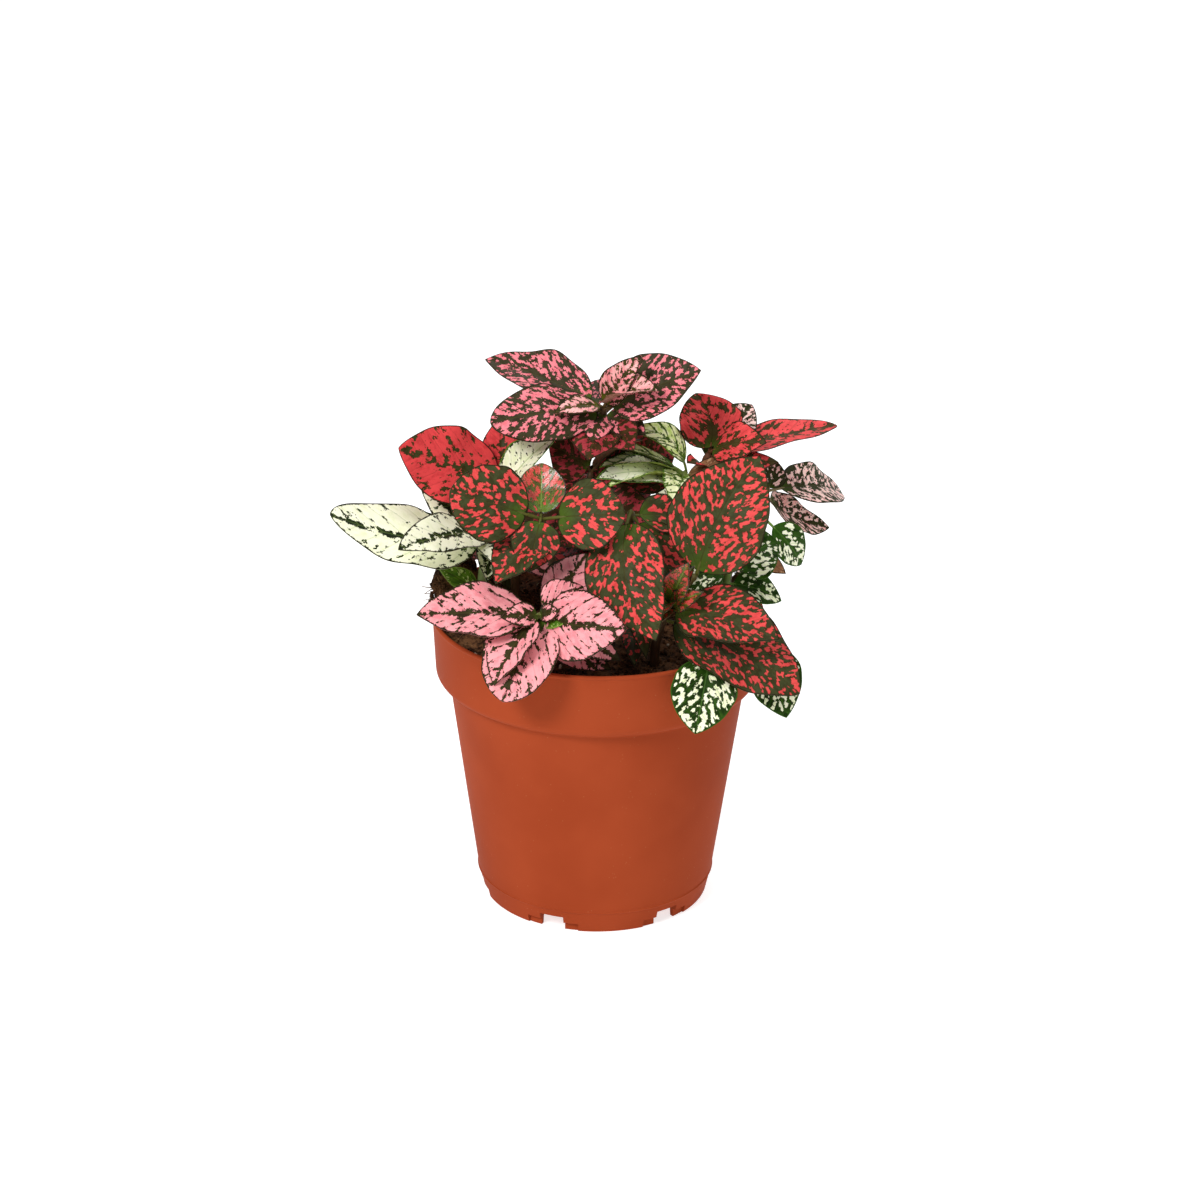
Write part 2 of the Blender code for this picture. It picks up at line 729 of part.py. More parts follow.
def leaf_solid(base: Vector, leaf: Leaf, grow: float = 0.0) -> Mesh:
    """Make a leaf as a thin closed solid.

    Args:
        base: Where its petiole starts.
        leaf: The leaf.
        grow: Distance by which it is made larger all round.

    Returns:
        Points and faces of the closed solid.
    """
    along = Vector(leaf.tip) - base
    length = along.length
    along.normalize()
    face = Vector(leaf.face)
    up = (face - along * face.dot(along)).normalized()
    side = up.cross(along)
    blade = stations_for(leaf.width)
    shares = [0.0] + [leaf.petiole + (1 - leaf.petiole) * share for share in blade]
    halves = [PETIOLE_HALF_WIDTH] + [half_width(leaf, share) for share in blade]
    thick = BLADE / 2 + grow
    upper: list[list[Vector]] = []
    lower: list[list[Vector]] = []
    for share, half in zip(shares, halves):
        hump = 4 * share * (1 - share)
        reach = length * share + (grow if share == 1.0 else 0.0)
        middle = base + along * reach + up * (leaf.arch * length * hump) + side * (leaf.bow * hump)
        wave = EDGE_WAVE * leaf.width * math.sin(2 * math.pi * WAVES * share) * hump
        row = []
        for across in (-1, 0, 1):
            rise = abs(across) * (leaf.fold * half + wave)
            row.append(middle + side * (across * (half + grow)) + up * rise)
        upper.append([point + up * thick for point in row])
        lower.append([point - up * thick for point in row])
    points = [point for row in upper for point in row] + [point for row in lower for point in row]
    count = len(upper) * 3
    faces: list[tuple[int, ...]] = []
    for number in range(len(upper) - 1):
        for column in (0, 1):
            a = number * 3 + column
            b, c, d = a + 1, a + 4, a + 3
            diagonal = ((a, b, c), (a, c, d)) if column else ((a, b, d), (b, c, d))
            faces.extend(diagonal)
            faces.extend(tuple(count + corner for corner in reversed(face)) for face in diagonal)
    rim = [number * 3 for number in range(len(upper))]
    rim += [rim[-1] + 1] + [number * 3 + 2 for number in reversed(range(len(upper)))] + [1]
    for here, there in zip(rim, rim[1:] + rim[:1]):
        faces.append((there, here, count + here, count + there))
    return points, faces


def stalk_solid(start: Vector, end: Vector, grow: float = 0.0) -> Mesh:
    """Make the long stalk that leads to a leaf's own base.

    Args:
        start: Its place on the stem.
        end: Where the leaf starts.
        grow: Distance by which it is made thicker.

    Returns:
        Points and faces of the closed solid.
    """
    middle = (start + end) / 2 + Vector((0.0, 0.0, STALK_RISE * (end - start).length))
    shares = (0.0, 0.25, 0.5, 0.75, 1.0)
    path = [start * (1 - t) ** 2 + middle * 2 * t * (1 - t) + end * t * t for t in shares]
    end_past = path[-1] + (path[-1] - path[-2]).normalized() * STALK_PAST
    return tube([*path[:-1], end_past], [STALK_RADIUS + grow] * len(path), STALK_SIDES)


def bends() -> list[tuple[int, int]]:
    """List the bends that a leaf may take to pass clear of other stems' leaves.

    Returns:
        Lift and turn in degrees, the smallest bends first.
    """
    lifts = range(-BEND_LIMIT, BEND_LIMIT + 1, BEND_STEP)
    turns = range(-TURN_LIMIT, TURN_LIMIT + 1, BEND_STEP)
    return sorted(itertools.product(lifts, turns), key=lambda pair: (abs(pair[0]) + abs(pair[1]), pair))


def bent(base: Vector, leaf: Leaf, lift: int, turn: int) -> Leaf:
    """Bend a leaf about its base.

    Args:
        base: Where it starts.
        leaf: The leaf.
        lift: Angle by which its tip rises, in degrees.
        turn: Angle by which its tip goes sideways, in degrees.

    Returns:
        The bent leaf.
    """
    if lift == 0 and turn == 0:
        return leaf
    along = Vector(leaf.tip) - base
    face = Vector(leaf.face)
    up = (face - along * face.dot(along) / along.length_squared).normalized()
    side = up.cross(along.normalized())
    along = rotated(rotated(along, side, -lift), up, turn)
    return replace(leaf, tip=tuple(base + along), face=tuple(rotated(up, side, -lift)))


def tree_of(shape: Mesh) -> BVHTree:
    """Make a search tree of a solid's faces.

    Args:
        shape: Its points and faces.

    Returns:
        The tree.
    """
    return BVHTree.FromPolygons(*shape)


def object_shape(item: bpy.types.Object) -> Mesh:
    """Read an object's points and faces in millimetres.

    Args:
        item: The object.

    Returns:
        Its points and faces.
    """
    points = [vertex.co / MM for vertex in item.data.vertices]
    return points, [tuple(polygon.vertices) for polygon in item.data.polygons]


class Planting:
    """Sets leaves on their stems so that none crosses another stem's piece."""

    def __init__(self, fixed: Iterable[bpy.types.Object], paths: dict[str, StemPath]) -> None:
        """Note what the leaves have to keep clear of.

        Args:
            fixed: The pot and the soil.
            paths: Middle line of each stem, by name.
        """
        self.paths = paths
        self.taken: list[tuple[str, BVHTree]] = [(item.name, tree_of(object_shape(item))) for item in fixed]
        self.taken += [(name, tree_of(stem_tube(path))) for name, path in paths.items()]

    def solids(self, name: str, leaf: Leaf, grow: float = 0.0) -> list[Mesh]:
        """Make the solids of one leaf.

        Args:
            name: Name of its stem.
            leaf: The leaf.
            grow: Distance by which they are made larger.

        Returns:
            The blade, with its long stalk if it has one.
        """
        start = self.paths[name].at(leaf.at)
        if leaf.base is None:
            return [leaf_solid(start, leaf, grow)]
        base = Vector(leaf.base)
        return [leaf_solid(base, leaf, grow), stalk_solid(start, base, grow)]

    def is_clear(self, name: str, leaf: Leaf) -> bool:
        """Test a leaf against the other stems' pieces.

        Args:
            name: Name of its stem.
            leaf: The leaf.

        Returns:
            True if it crosses none of them.
        """
        trees = [tree_of(shape) for shape in self.solids(name, leaf, GAP)]
        others = [tree for owner, tree in self.taken if owner != name]
        return not any(tree.overlap(other) for tree in trees for other in others)

    def settle(self, name: str, leaf: Leaf) -> list[Mesh]:
        """Bend a leaf clear by the smallest bend that does it.

        Args:
            name: Name of its stem.
            leaf: The leaf.

        Returns:
            Its solids, or none if no bend clears it.
        """
        base = Vector(leaf.base) if leaf.base else self.paths[name].at(leaf.at)
        for lift, turn in bends():
            candidate = bent(base, leaf, lift, turn)
            if self.is_clear(name, candidate):
                shapes = self.solids(name, candidate)
                self.taken += [(name, tree_of(shape)) for shape in shapes]
                log.info("%s tip %s bends %s %s", name, leaf.tip, lift, turn)
                return shapes
        log.warning("%s tip %s has no clear place", name, leaf.tip)
        return []


def back_leaves(stem: BackStem) -> tuple[Leaf, ...]:
    """Work out the crossed pairs of leaves of a stem on the far side.

    Args:
        stem: The stem.

    Returns:
        Its leaves, topmost first.
    """
    draw = random.Random(stem.name)
    path = StemPath(stem.root, stem.top)
    leaves = []
    for level in range(stem.levels):
        share = 1.0 - PAIR_SPACING * level
        length = stem.reach * PAIR_LENGTHS[level]
        for half_turn in (0, 180):
            heading = math.radians(stem.heading + 90 * level + half_turn + draw.uniform(-14, 14))
            pitch = math.radians(PAIR_PITCHES[level] + draw.uniform(-6, 6))
            reach = length * draw.uniform(0.9, 1.08)
            outward = Vector((math.cos(heading), math.sin(heading), 0.0))
            step = outward * math.cos(pitch) + Vector((0.0, 0.0, math.sin(pitch)))
            tip = path.at(share) + step * reach
            face = outward * -math.sin(pitch) + Vector((0.0, 0.0, math.cos(pitch)))
            width = reach * draw.uniform(0.58, 0.7)
            leaves.append(Leaf(share, tuple(tip), width, tuple(face), blunt=draw.uniform(0.1, 0.5)))
    return tuple(leaves)


def all_stems() -> tuple[Stem, ...]:
    """List every leafy stem.

    Returns:
        The stems, the ones that the photograph shows first.
    """
    far = tuple(
        Stem(stem.name, stem.root, stem.top, stem.colour, back_leaves(stem)) for stem in BACK_STEMS
    )
    return FRONT_STEMS + far


def clear_scene() -> None:
    """Remove the objects that the scene starts with."""
    for item in list(bpy.data.objects):
        bpy.data.objects.remove(item)


def main() -> None:
    """Build the potted plant."""
    logging.basicConfig(level=logging.INFO, format="%(message)s")
    clear_scene()
    stems = all_stems()
    pot = make_pot()
    soil = make_soil(stem.root for stem in stems)
    paths = {stem.name: StemPath(stem.root, stem.top) for stem in stems}
    planting = Planting((pot, soil), paths)
    for stem in stems:
        body = make_object(stem.name, stem_tube(paths[stem.name]))
        shapes = [shape for leaf in stem.leaves for shape in planting.settle(stem.name, leaf)]
        combine(body, [make_object("leaf", shape) for shape in shapes], "UNION")
        finish_look(body, stem.colour, LEAF_ROUGHNESS)


if __name__ == "__main__":
    main()
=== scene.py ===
"""Looks of the potted polka dot plant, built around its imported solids.

Places, lengths and widths are in millimetres, as in the part's source, and become metres when a mesh
is made. +Z is up, and the side that the photograph shows looks along -Y.
"""
from __future__ import annotations

import itertools
import json
import logging
import math
import random
from dataclasses import dataclass, field, replace
from enum import Enum
from typing import Iterable, Sequence

import bmesh
import bpy
import numpy as np
from mathutils import Euler, Matrix, Vector
from mathutils.kdtree import KDTree

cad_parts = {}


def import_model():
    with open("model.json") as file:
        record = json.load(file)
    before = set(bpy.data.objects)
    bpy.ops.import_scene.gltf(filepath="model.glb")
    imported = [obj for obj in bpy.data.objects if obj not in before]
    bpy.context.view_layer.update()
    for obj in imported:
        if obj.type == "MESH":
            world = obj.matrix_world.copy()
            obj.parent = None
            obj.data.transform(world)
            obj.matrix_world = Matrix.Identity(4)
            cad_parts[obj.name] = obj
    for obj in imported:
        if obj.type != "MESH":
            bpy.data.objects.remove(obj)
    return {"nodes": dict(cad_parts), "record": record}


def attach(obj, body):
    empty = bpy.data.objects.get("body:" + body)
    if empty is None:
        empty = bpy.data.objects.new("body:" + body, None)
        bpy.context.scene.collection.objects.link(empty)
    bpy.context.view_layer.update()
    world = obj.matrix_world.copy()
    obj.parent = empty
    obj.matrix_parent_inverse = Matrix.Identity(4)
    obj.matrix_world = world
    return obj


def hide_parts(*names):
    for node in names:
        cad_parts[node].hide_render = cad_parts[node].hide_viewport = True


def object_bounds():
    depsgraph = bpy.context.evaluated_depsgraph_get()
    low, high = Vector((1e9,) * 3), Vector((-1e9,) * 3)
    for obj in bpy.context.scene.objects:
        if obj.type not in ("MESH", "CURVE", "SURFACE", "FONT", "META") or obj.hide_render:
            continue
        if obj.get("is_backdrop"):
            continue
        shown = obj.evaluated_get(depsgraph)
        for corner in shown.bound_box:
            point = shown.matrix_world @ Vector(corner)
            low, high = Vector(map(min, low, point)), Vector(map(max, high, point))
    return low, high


log = logging.getLogger("polka_dot_plant")

MM = 0.001
BODY = "root"

Array = np.ndarray
Triple = tuple[float, float, float]


def unit(vectors: Array) -> Array:
    """Scale vectors to length 1.

    Args:
        vectors: Vectors, with their parts along the last axis.

    Returns:
        The unit vectors.
    """
    return vectors / np.linalg.norm(vectors, axis=-1, keepdims=True)


def smooth(values: Array, low: float, high: float) -> Array:
    """Rise smoothly from 0 at low to 1 at high: t * t * (3 - 2 * t), t being the clipped share.

    Args:
        values: Values to look up.
        low: Value where the rise starts.
        high: Value where it ends.

    Returns:
        The risen values.
    """
    share = np.clip((values - low) / (high - low), 0.0, 1.0)
    return share * share * (3.0 - 2.0 * share)


class Lumps:
    """A smooth random field: random values on a cubic lattice, blended between its points."""

    SIDE = 32

    def __init__(self, seed: int) -> None:
        """Draw the lattice.

        Args:
            seed: Seed of the draw.
        """
        self.values = np.random.default_rng(seed).uniform(-1.0, 1.0, (self.SIDE,) * 3)

    def at(self, points: Array, size: float) -> Array:
        """Read the field.

        Args:
            points: Places, with x, y and z along the last axis.
            size: Distance between two points of the lattice.

        Returns:
            Values from -1 to 1, smooth from place to place.
        """
        cells = points / size
        whole = np.floor(cells).astype(int)
        part = cells - whole
        part = part * part * (3.0 - 2.0 * part)
        total = np.zeros(points.shape[:-1])
        for corner in itertools.product((0, 1), repeat=3):
            index = (whole + corner) % self.SIDE
            weight = np.prod(np.where(corner, part, 1.0 - part), axis=-1)
            total += weight * self.values[index[..., 0], index[..., 1], index[..., 2]]
        return total


MARKS = ("blade", "run", "rib")


class Pile:
    """Collects closed shapes, given in millimetres, for one mesh, with the marks that finishes read."""

    def __init__(self) -> None:
        """Start with nothing."""
        self.points: list[Array] = []
        self.faces: list[Sequence[int]] = []
        self.finishes: list[int] = []
        self.marks: dict[str, list[Array]] = {name: [] for name in MARKS}
        self.count = 0

    def add(self, points: Array, faces: Sequence[Sequence[int]], finish: int = 0,
            marks: dict[str, Array] | None = None) -> None:
        """Add one closed shape, turned so that its faces point outwards.

        Args:
            points: Its points, one row each.
            faces: Its faces, as numbers of points.
            finish: Number of its finish in the piece's list.
            marks: Marks of its points, by name.
        """
        fan = [(face[0], b, c) for face in faces for b, c in zip(face[1:], face[2:])]
        corners = points[np.array(fan)] - points.mean(axis=0)
        volume = np.einsum("ij,ij->i", corners[:, 0], np.cross(corners[:, 1], corners[:, 2])).sum()
        for face in faces:
            turned = face if volume > 0 else face[::-1]
            self.faces.append([self.count + corner for corner in turned])
        self.finishes.extend([finish] * len(faces))
        self.points.append(points)
        for name in MARKS:
            given = (marks or {}).get(name)
            self.marks[name].append(np.zeros((len(points), 3)) if given is None else given.reshape(-1, 3))
        self.count += len(points)

    def add_loops(self, loops: Array, finish: int = 0, marks: dict[str, Array] | None = None) -> None:
        """Add a tube that runs through a row of closed loops and is closed at both ends.

        Args:
            loops: Points of the loops, as loop, place and coordinate.
            finish: Number of its finish in the piece's list.
            marks: Marks of its points, by name.
        """
        rows, places, _ = loops.shape
        index = np.arange(rows * places).reshape(rows, places)
        onward = np.roll(index, -1, axis=1)
        quads = np.stack([index[:-1], onward[:-1], onward[1:], index[1:]], axis=-1).reshape(-1, 4)
        faces = [*quads.tolist(), index[0][::-1].tolist(), index[-1].tolist()]
        self.add(loops.reshape(-1, 3), faces, finish, marks)

    def make(self, name: str, materials: Sequence[bpy.types.Material]) -> bpy.types.Object:
        """Make the mesh object.

        Args:
            name: Name of the piece.
            materials: Its finishes.

        Returns:
            The object, at the origin.
        """
        mesh = bpy.data.meshes.new(name)
        mesh.from_pydata(np.concatenate(self.points) * MM, [], self.faces)
        for mark, values in self.marks.items():
            attribute = mesh.attributes.new(mark, "FLOAT_VECTOR", "POINT")
            attribute.data.foreach_set("vector", np.concatenate(values).astype(np.float32).ravel())
        for material in materials:
            mesh.materials.append(material)
        mesh.polygons.foreach_set("material_index", self.finishes)
        mesh.shade_smooth()
        item = bpy.data.objects.new(name, mesh)
        bpy.context.scene.collection.objects.link(item)
        return item


def settle(item: bpy.types.Object, slot: str, *nodes: str) -> None:
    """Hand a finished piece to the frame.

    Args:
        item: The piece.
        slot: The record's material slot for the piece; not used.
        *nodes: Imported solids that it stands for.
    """
    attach(item, BODY)
    if nodes:
        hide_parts(*nodes)
    log.info("%s: %d faces", item.name, len(item.data.polygons))


class Term:
    """A value in a material's node tree, for use in arithmetic."""

    def __init__(self, bench: Bench, socket: bpy.types.NodeSocket) -> None:
        """Wrap an output socket.

        Args:
            bench: The bench that its material is made on.
            socket: The socket.
        """
        self.bench = bench
        self.socket = socket

    def math(self, operation: str, *others: Term | float, backwards: bool = False) -> Term:
        """Add a Math node.

        Args:
            operation: Its operation.
            *others: Its other inputs.
            backwards: Whether this value is the second input.

        Returns:
            The node's value.
        """
        values = [self, *others]
        if backwards:
            values.reverse()
        node = self.bench.node("ShaderNodeMath", {"operation": operation}, dict(enumerate(values)))
        return Term(self.bench, node.outputs[0])

    def __add__(self, other: Term | float) -> Term:
        """Add a value."""
        return self.math("ADD", other)

    __radd__ = __add__

    def __mul__(self, other: Term | float) -> Term:
        """Multiply by a value."""
        return self.math("MULTIPLY", other)

    __rmul__ = __mul__

    def __sub__(self, other: Term | float) -> Term:
        """Subtract a value."""
        return self.math("SUBTRACT", other)

    def __rsub__(self, other: Term | float) -> Term:
        """Subtract this value from another."""
        return self.math("SUBTRACT", other, backwards=True)

    def __truediv__(self, other: Term | float) -> Term:
        """Divide by a value."""
        return self.math("DIVIDE", other)

    def __abs__(self) -> Term:
        """Take the size of the value."""
        return self.math("ABSOLUTE")

    def least(self, other: Term | float) -> Term:
        """Take the smaller of two values."""
        return self.math("MINIMUM", other)

    def most(self, other: Term | float) -> Term:
        """Take the larger of two values."""
        return self.math("MAXIMUM", other)

    def rise(self, low: Term | float, high: Term | float) -> Term:
        """Rise smoothly from 0 to 1.

        Args:
            low: Value where the rise starts.
            high: Value where it ends.

        Returns:
            The risen value.
        """
        settings = {"interpolation_type": "SMOOTHSTEP"}
        node = self.bench.node("ShaderNodeMapRange", settings, {"Value": self, "From Min": low, "From Max": high})
        return Term(self.bench, node.outputs["Result"])

    def fall(self, low: Term | float, high: Term | float) -> Term:
        """Fall smoothly from 1 to 0.

        Args:
            low: Value where the fall starts.
            high: Value where it ends.

        Returns:
            The fallen value.
        """
        return 1.0 - self.rise(low, high)


Colour = Triple


class Bench:
    """Makes one material's nodes."""

    def __init__(self, name: str) -> None:
        """Start a material with a plain Principled shader.

        Args:
            name: Its name.
        """
        self.material = bpy.data.materials.new(name)
        self.material.use_nodes = True
        self.tree = self.material.node_tree
        self.shader = self.tree.nodes["Principled BSDF"]

    def node(self, kind: str, settings: dict | None = None, inputs: dict | None = None) -> bpy.types.Node:
        """Add a node.

        Args:
            kind: Its type.
            settings: Its own settings, set first.
            inputs: Values, colours or links of its sockets, by name or number.

        Returns:
            The node.
        """
        made = self.tree.nodes.new(kind)
        for name, value in (settings or {}).items():
            setattr(made, name, value)
        for key, value in (inputs or {}).items():
            self.feed(made.inputs[key], value)
        return made

    def feed(self, socket: bpy.types.NodeSocket, value: object) -> None:
        """Set or link a socket.

        Args:
            socket: The input socket.
            value: A number, a colour, an output socket or a Term.
        """
        if isinstance(value, Term):
            value = value.socket
        if isinstance(value, bpy.types.NodeSocket):
            self.tree.links.new(value, socket)
        elif isinstance(value, tuple) and socket.type == "RGBA":
            socket.default_value = (*value, 1.0)
        else:
            socket.default_value = value

    def mark(self, name: str) -> tuple[Term, Term, Term]:
        """Read the three numbers of a mark.

        Args:
            name: Name of the mark.

        Returns:
            The numbers.
        """
        found = self.node("ShaderNodeAttribute", {"attribute_name": name})
        parts = self.node("ShaderNodeSeparateXYZ", None, {"Vector": found.outputs["Vector"]})
        return tuple(Term(self, output) for output in parts.outputs)

    def place(self) -> bpy.types.NodeSocket:
        """Read the place on the piece, in metres."""
        return self.node("ShaderNodeTexCoord").outputs["Object"]

    def vector(self, x: Term | float, y: Term | float, z: Term | float) -> bpy.types.NodeSocket:
        """Join three numbers to a vector.

        Args:
            x: First number.
            y: Second number.
            z: Third number.

        Returns:
            The vector.
        """
        return self.node("ShaderNodeCombineXYZ", None, {0: x, 1: y, 2: z}).outputs[0]

    def noise(self, vector: bpy.types.NodeSocket, scale: float = 1.0, detail: float = 2.0,
              roughness: float = 0.5, distortion: float = 0.0) -> Term:
        """Add smooth noise.

        Args:
            vector: Coordinates.
            scale: Number of lumps per unit.
            detail: Number of finer layers.
            roughness: Strength of the finer layers.
            distortion: Warp of the lumps.

        Returns:
            Values around 0.5.
        """
        inputs = {"Vector": vector, "Scale": scale, "Detail": detail, "Roughness": roughness,
                  "Distortion": distortion}
        return Term(self, self.node("ShaderNodeTexNoise", None, inputs).outputs[0])

    def cells(self, vector: bpy.types.NodeSocket, scale: float, randomness: float = 1.0) -> Term:
        """Measure the distance to the nearest of many scattered points.

        Args:
            vector: Coordinates.
            scale: Number of points per unit.
            randomness: How irregularly they lie.

        Returns:
            The distance, from 0 to about 1.
        """
        inputs = {"Vector": vector, "Scale": scale, "Randomness": randomness}
        return Term(self, self.node("ShaderNodeTexVoronoi", None, inputs).outputs["Distance"])

    def cell_middles(self, vector: bpy.types.NodeSocket) -> tuple[bpy.types.NodeSocket, Term]:
        """Divide space into irregular cells about one unit wide.

        Args:
            vector: Coordinates.

        Returns:
            The middle of the cell that a place lies in, and a random number from 0 to 1 for the cell.
        """
        inputs = {"Vector": vector, "Scale": 1.0, "Randomness": 1.0}
        node = self.node("ShaderNodeTexVoronoi", None, inputs)
        parts = self.node("ShaderNodeSeparateXYZ", None, {"Vector": node.outputs["Color"]})
        return node.outputs["Position"], Term(self, parts.outputs[0])

    def gap(self, first: bpy.types.NodeSocket, second: bpy.types.NodeSocket) -> tuple[Term, Term, Term]:
        """Subtract the second vector from the first.

        Args:
            first: First vector.
            second: Second vector.

        Returns:
            The three numbers of the difference.
        """
        node = self.node("ShaderNodeVectorMath", {"operation": "SUBTRACT"}, {0: first, 1: second})
        parts = self.node("ShaderNodeSeparateXYZ", None, {"Vector": node.outputs[0]})
        return tuple(Term(self, output) for output in parts.outputs)

    def blend(self, share: Term | float, first: object, second: object) -> bpy.types.NodeSocket:
        """Blend two colours.

        Args:
            share: Share of the second colour.
            first: First colour.
            second: Second colour.

        Returns:
            The blended colour.
        """
        node = self.node("ShaderNodeMix", {"data_type": "RGBA"}, {0: share, 6: first, 7: second})
        return node.outputs[2]

    def finish(self, colour: object, roughness: object, height: Term | None = None, depth: float = 0.0,
               **fixed: float) -> bpy.types.Material:
        """Wire the shader.

        Args:
            colour: Base colour.
            roughness: Roughness.
            height: Relief, from 0 to 1.
            depth: Depth of the relief in millimetres.
            **fixed: Numbers for other sockets, with _ for a blank.

        Returns:
            The material.
        """
        self.feed(self.shader.inputs["Base Color"], colour)
        self.feed(self.shader.inputs["Roughness"], roughness)
        for name, value in fixed.items():
            self.shader.inputs[name.replace("_", " ")].default_value = value
        if height is not None:
            bump = self.node("ShaderNodeBump", None, {"Height": height, "Distance": depth * MM})
            self.tree.links.new(bump.outputs["Normal"], self.shader.inputs["Normal"])
        return self.material


TOP, UNDERSIDE = 1.0, 2.0
VEIN_LEAN = 1.0
VEIN_SLOPE = math.hypot(1.0, VEIN_LEAN)
HALVES_APART = 0.6
DARK_GREEN = (0.050, 0.056, 0.020)
DEEP_GREEN = (0.034, 0.034, 0.011)
SPOT_LINE = (0.020, 0.012, 0.004)


@dataclass(frozen=True)
class LeafFinish:
    """Spotted skin of a leaf, drawn in the leaf's own coordinates.

    The spots are unions of small cells. A cell is coloured when a wide noise, read at its middle, lies
    above a level. The level is higher near the midrib, the side veins, the edge and the base, where
    the ground colour shows more.

    Attributes:
        name: Name of the material.
        spot: Colour of the spots.
        spot_deep: The same in its darker patches.
        level: Height of the noise above which a cell is coloured; lower gives more colour.
        ground: Colour between the spots.
        ground_deep: The same in its darker patches.
        grain: Width of a spot in millimetres.
        cell: Width of a cell in millimetres.
        stretch: Length of a spot along the side veins, against its width.
        detail: Number of finer layers in the spots' outlines.
        speckle: How much single cells stray.
        patches: How much the spots gather in patches.
        rib_pull: How much the spots keep off the midrib.
        rib_reach: How far from the midrib, in millimetres.
        vein_pull: How much they keep off the side veins.
        edge_pull: How much they keep off the edge.
        base_pull: How much they keep off the leaf's base.
        base_reach: How far up the leaf, as a share of its length, its base goes on.
        base: Colour of the ground there.
        vein: Colour of the midrib and the side veins.
        vein_show: Strength of the side veins' lines.
        vein_width: Width of these lines, as a share of their spacing.
        rib_show: Strength of the midrib's line.
        margin: Colour of the thin line along the edge.
        under: Colour of the underside.
        outline: Strength of the darker line round the spots.
        gloss: Roughness of the skin.
        shine: Strength of its reflection, 0.5 being that of plastic.
    """

    name: str
    spot: Colour
    spot_deep: Colour
    level: float
    ground: Colour = DARK_GREEN
    ground_deep: Colour = DEEP_GREEN
    grain: float = 2.0
    cell: float = 0.42
    stretch: float = 1.5
    detail: float = 2.0
    speckle: float = 0.05
    patches: float = 0.15
    rib_pull: float = 0.12
    rib_reach: float = 1.8
    vein_pull: float = 0.04
    edge_pull: float = 0.05
    base_pull: float = 0.10
    base_reach: float = 0.22
    base: Colour = (0.060, 0.110, 0.010)
    vein: Colour = (0.050, 0.042, 0.010)
    vein_show: float = 0.25
    vein_width: float = 0.06
    rib_show: float = 0.7
    margin: Colour = (0.018, 0.014, 0.005)
    under: Colour = (0.16, 0.13, 0.07)
    outline: float = 0.55
    gloss: float = 0.42
    shine: float = 0.06

    def spots(self, bench: Bench) -> tuple[Term, Term, Term]:
        """Work out where the spots are.

        Args:
            bench: The bench.

        Returns:
            The share of the spots' colour, the darker line round them, and how near the leaf's base is.
        """
        along = bench.mark("blade")[0]
        run, out, seed = bench.mark("run")
        offside, edge, phase = bench.mark("rib")
        rib = abs(offside)
        x, y, z = run + seed * 47.0, out + seed * 31.0, offside * HALVES_APART
        flat = bench.vector(x, y, z)
        warp = bench.noise(flat, 1.1, 2.0) - 0.5
        along_cells = y / (self.cell * self.stretch) - warp * 2.2
        place = bench.vector(x / self.cell + warp * 2.2, along_cells, z / self.cell)
        middle, stray = bench.cell_middles(place)
        fine = bench.noise(middle, self.cell / self.grain, self.detail, 0.45)
        wide = bench.noise(flat, 0.12, 1.0)
        wander = (bench.noise(flat, 0.45, 1.0) - 0.5) * 0.3
        near_vein = abs(phase + wander - (phase + wander).math("ROUND"))
        shift = bench.gap(middle, place)
        inward = (shift[1] * self.stretch - shift[0] * VEIN_LEAN) * (self.cell / VEIN_SLOPE)
        near_rib = abs(rib + inward) / (1.25 - along)
        base_near = (along + rib * 0.02).fall(0.0, self.base_reach)
        kept_off = near_rib.fall(self.rib_reach * 0.2, self.rib_reach) * self.rib_pull
        kept_off += near_vein.fall(0.04, 0.20) * self.vein_pull
        kept_off += (edge - inward).fall(0.3, 1.1) * self.edge_pull + base_near * self.base_pull
        density = fine + (wide - 0.5) * self.patches + (stray - 0.5) * self.speckle - kept_off
        line = density.rise(self.level - 0.06, self.level - 0.015)
        return density.rise(self.level - 0.008, self.level + 0.008), line, base_near

    def make(self) -> bpy.types.Material:
        """Make the material.

        Returns:
            The material.
        """
        bench = Bench(self.name)
        side = bench.mark("blade")[2]
        across = bench.mark("blade")[1]
        along = bench.mark("blade")[0]
        run, out, seed = bench.mark("run")
        offside, edge, phase = bench.mark("rib")
        rib = abs(offside)
        spots, line, base_near = self.spots(bench)
        tone = bench.noise(bench.vector(run / 2.2, out / 3.0, seed * 9.0 + offside * 0.2), 1.0, 2.0)
        tone += (seed.math("FRACT") - 0.5) * 0.16
        skin = bench.noise(bench.vector(run, out, seed), 2.6, 2.0)
        near_vein = abs(phase - phase.math("ROUND"))
        vein_line = near_vein.fall(self.vein_width * 0.2, self.vein_width) * abs(across).fall(0.7, 0.98) * self.vein_show
        rib_line = rib.fall(0.10, 0.34) * along.fall(0.75, 1.0) * self.rib_show
        edge_line = (edge + (tone - 0.5) * 0.35).fall(0.26, 0.56)
        ground = bench.blend(tone.rise(0.35, 0.65), self.ground_deep, self.ground)
        ground = bench.blend(base_near * 0.8, ground, self.base)
        ground = bench.blend(line * self.outline, ground, SPOT_LINE)
        spot = bench.blend((tone * 0.75 + skin * 0.25).rise(0.32, 0.6), self.spot_deep, self.spot)
        colour = bench.blend(spots, ground, spot)
        colour = bench.blend(vein_line.most(rib_line), colour, self.vein)
        colour = bench.blend(edge_line, colour, self.margin)
        colour = bench.blend(side.rise(1.3, 1.7) * 0.8, colour, self.under)
        height = skin * 0.3 + near_vein.rise(0.0, 0.08) * 0.3 + rib.rise(0.0, 0.45) * 0.5
        rough = (skin - 0.5) * 0.25 + self.gloss
        return bench.finish(colour, rough, height, 0.2, Specular_IOR_Level=self.shine)


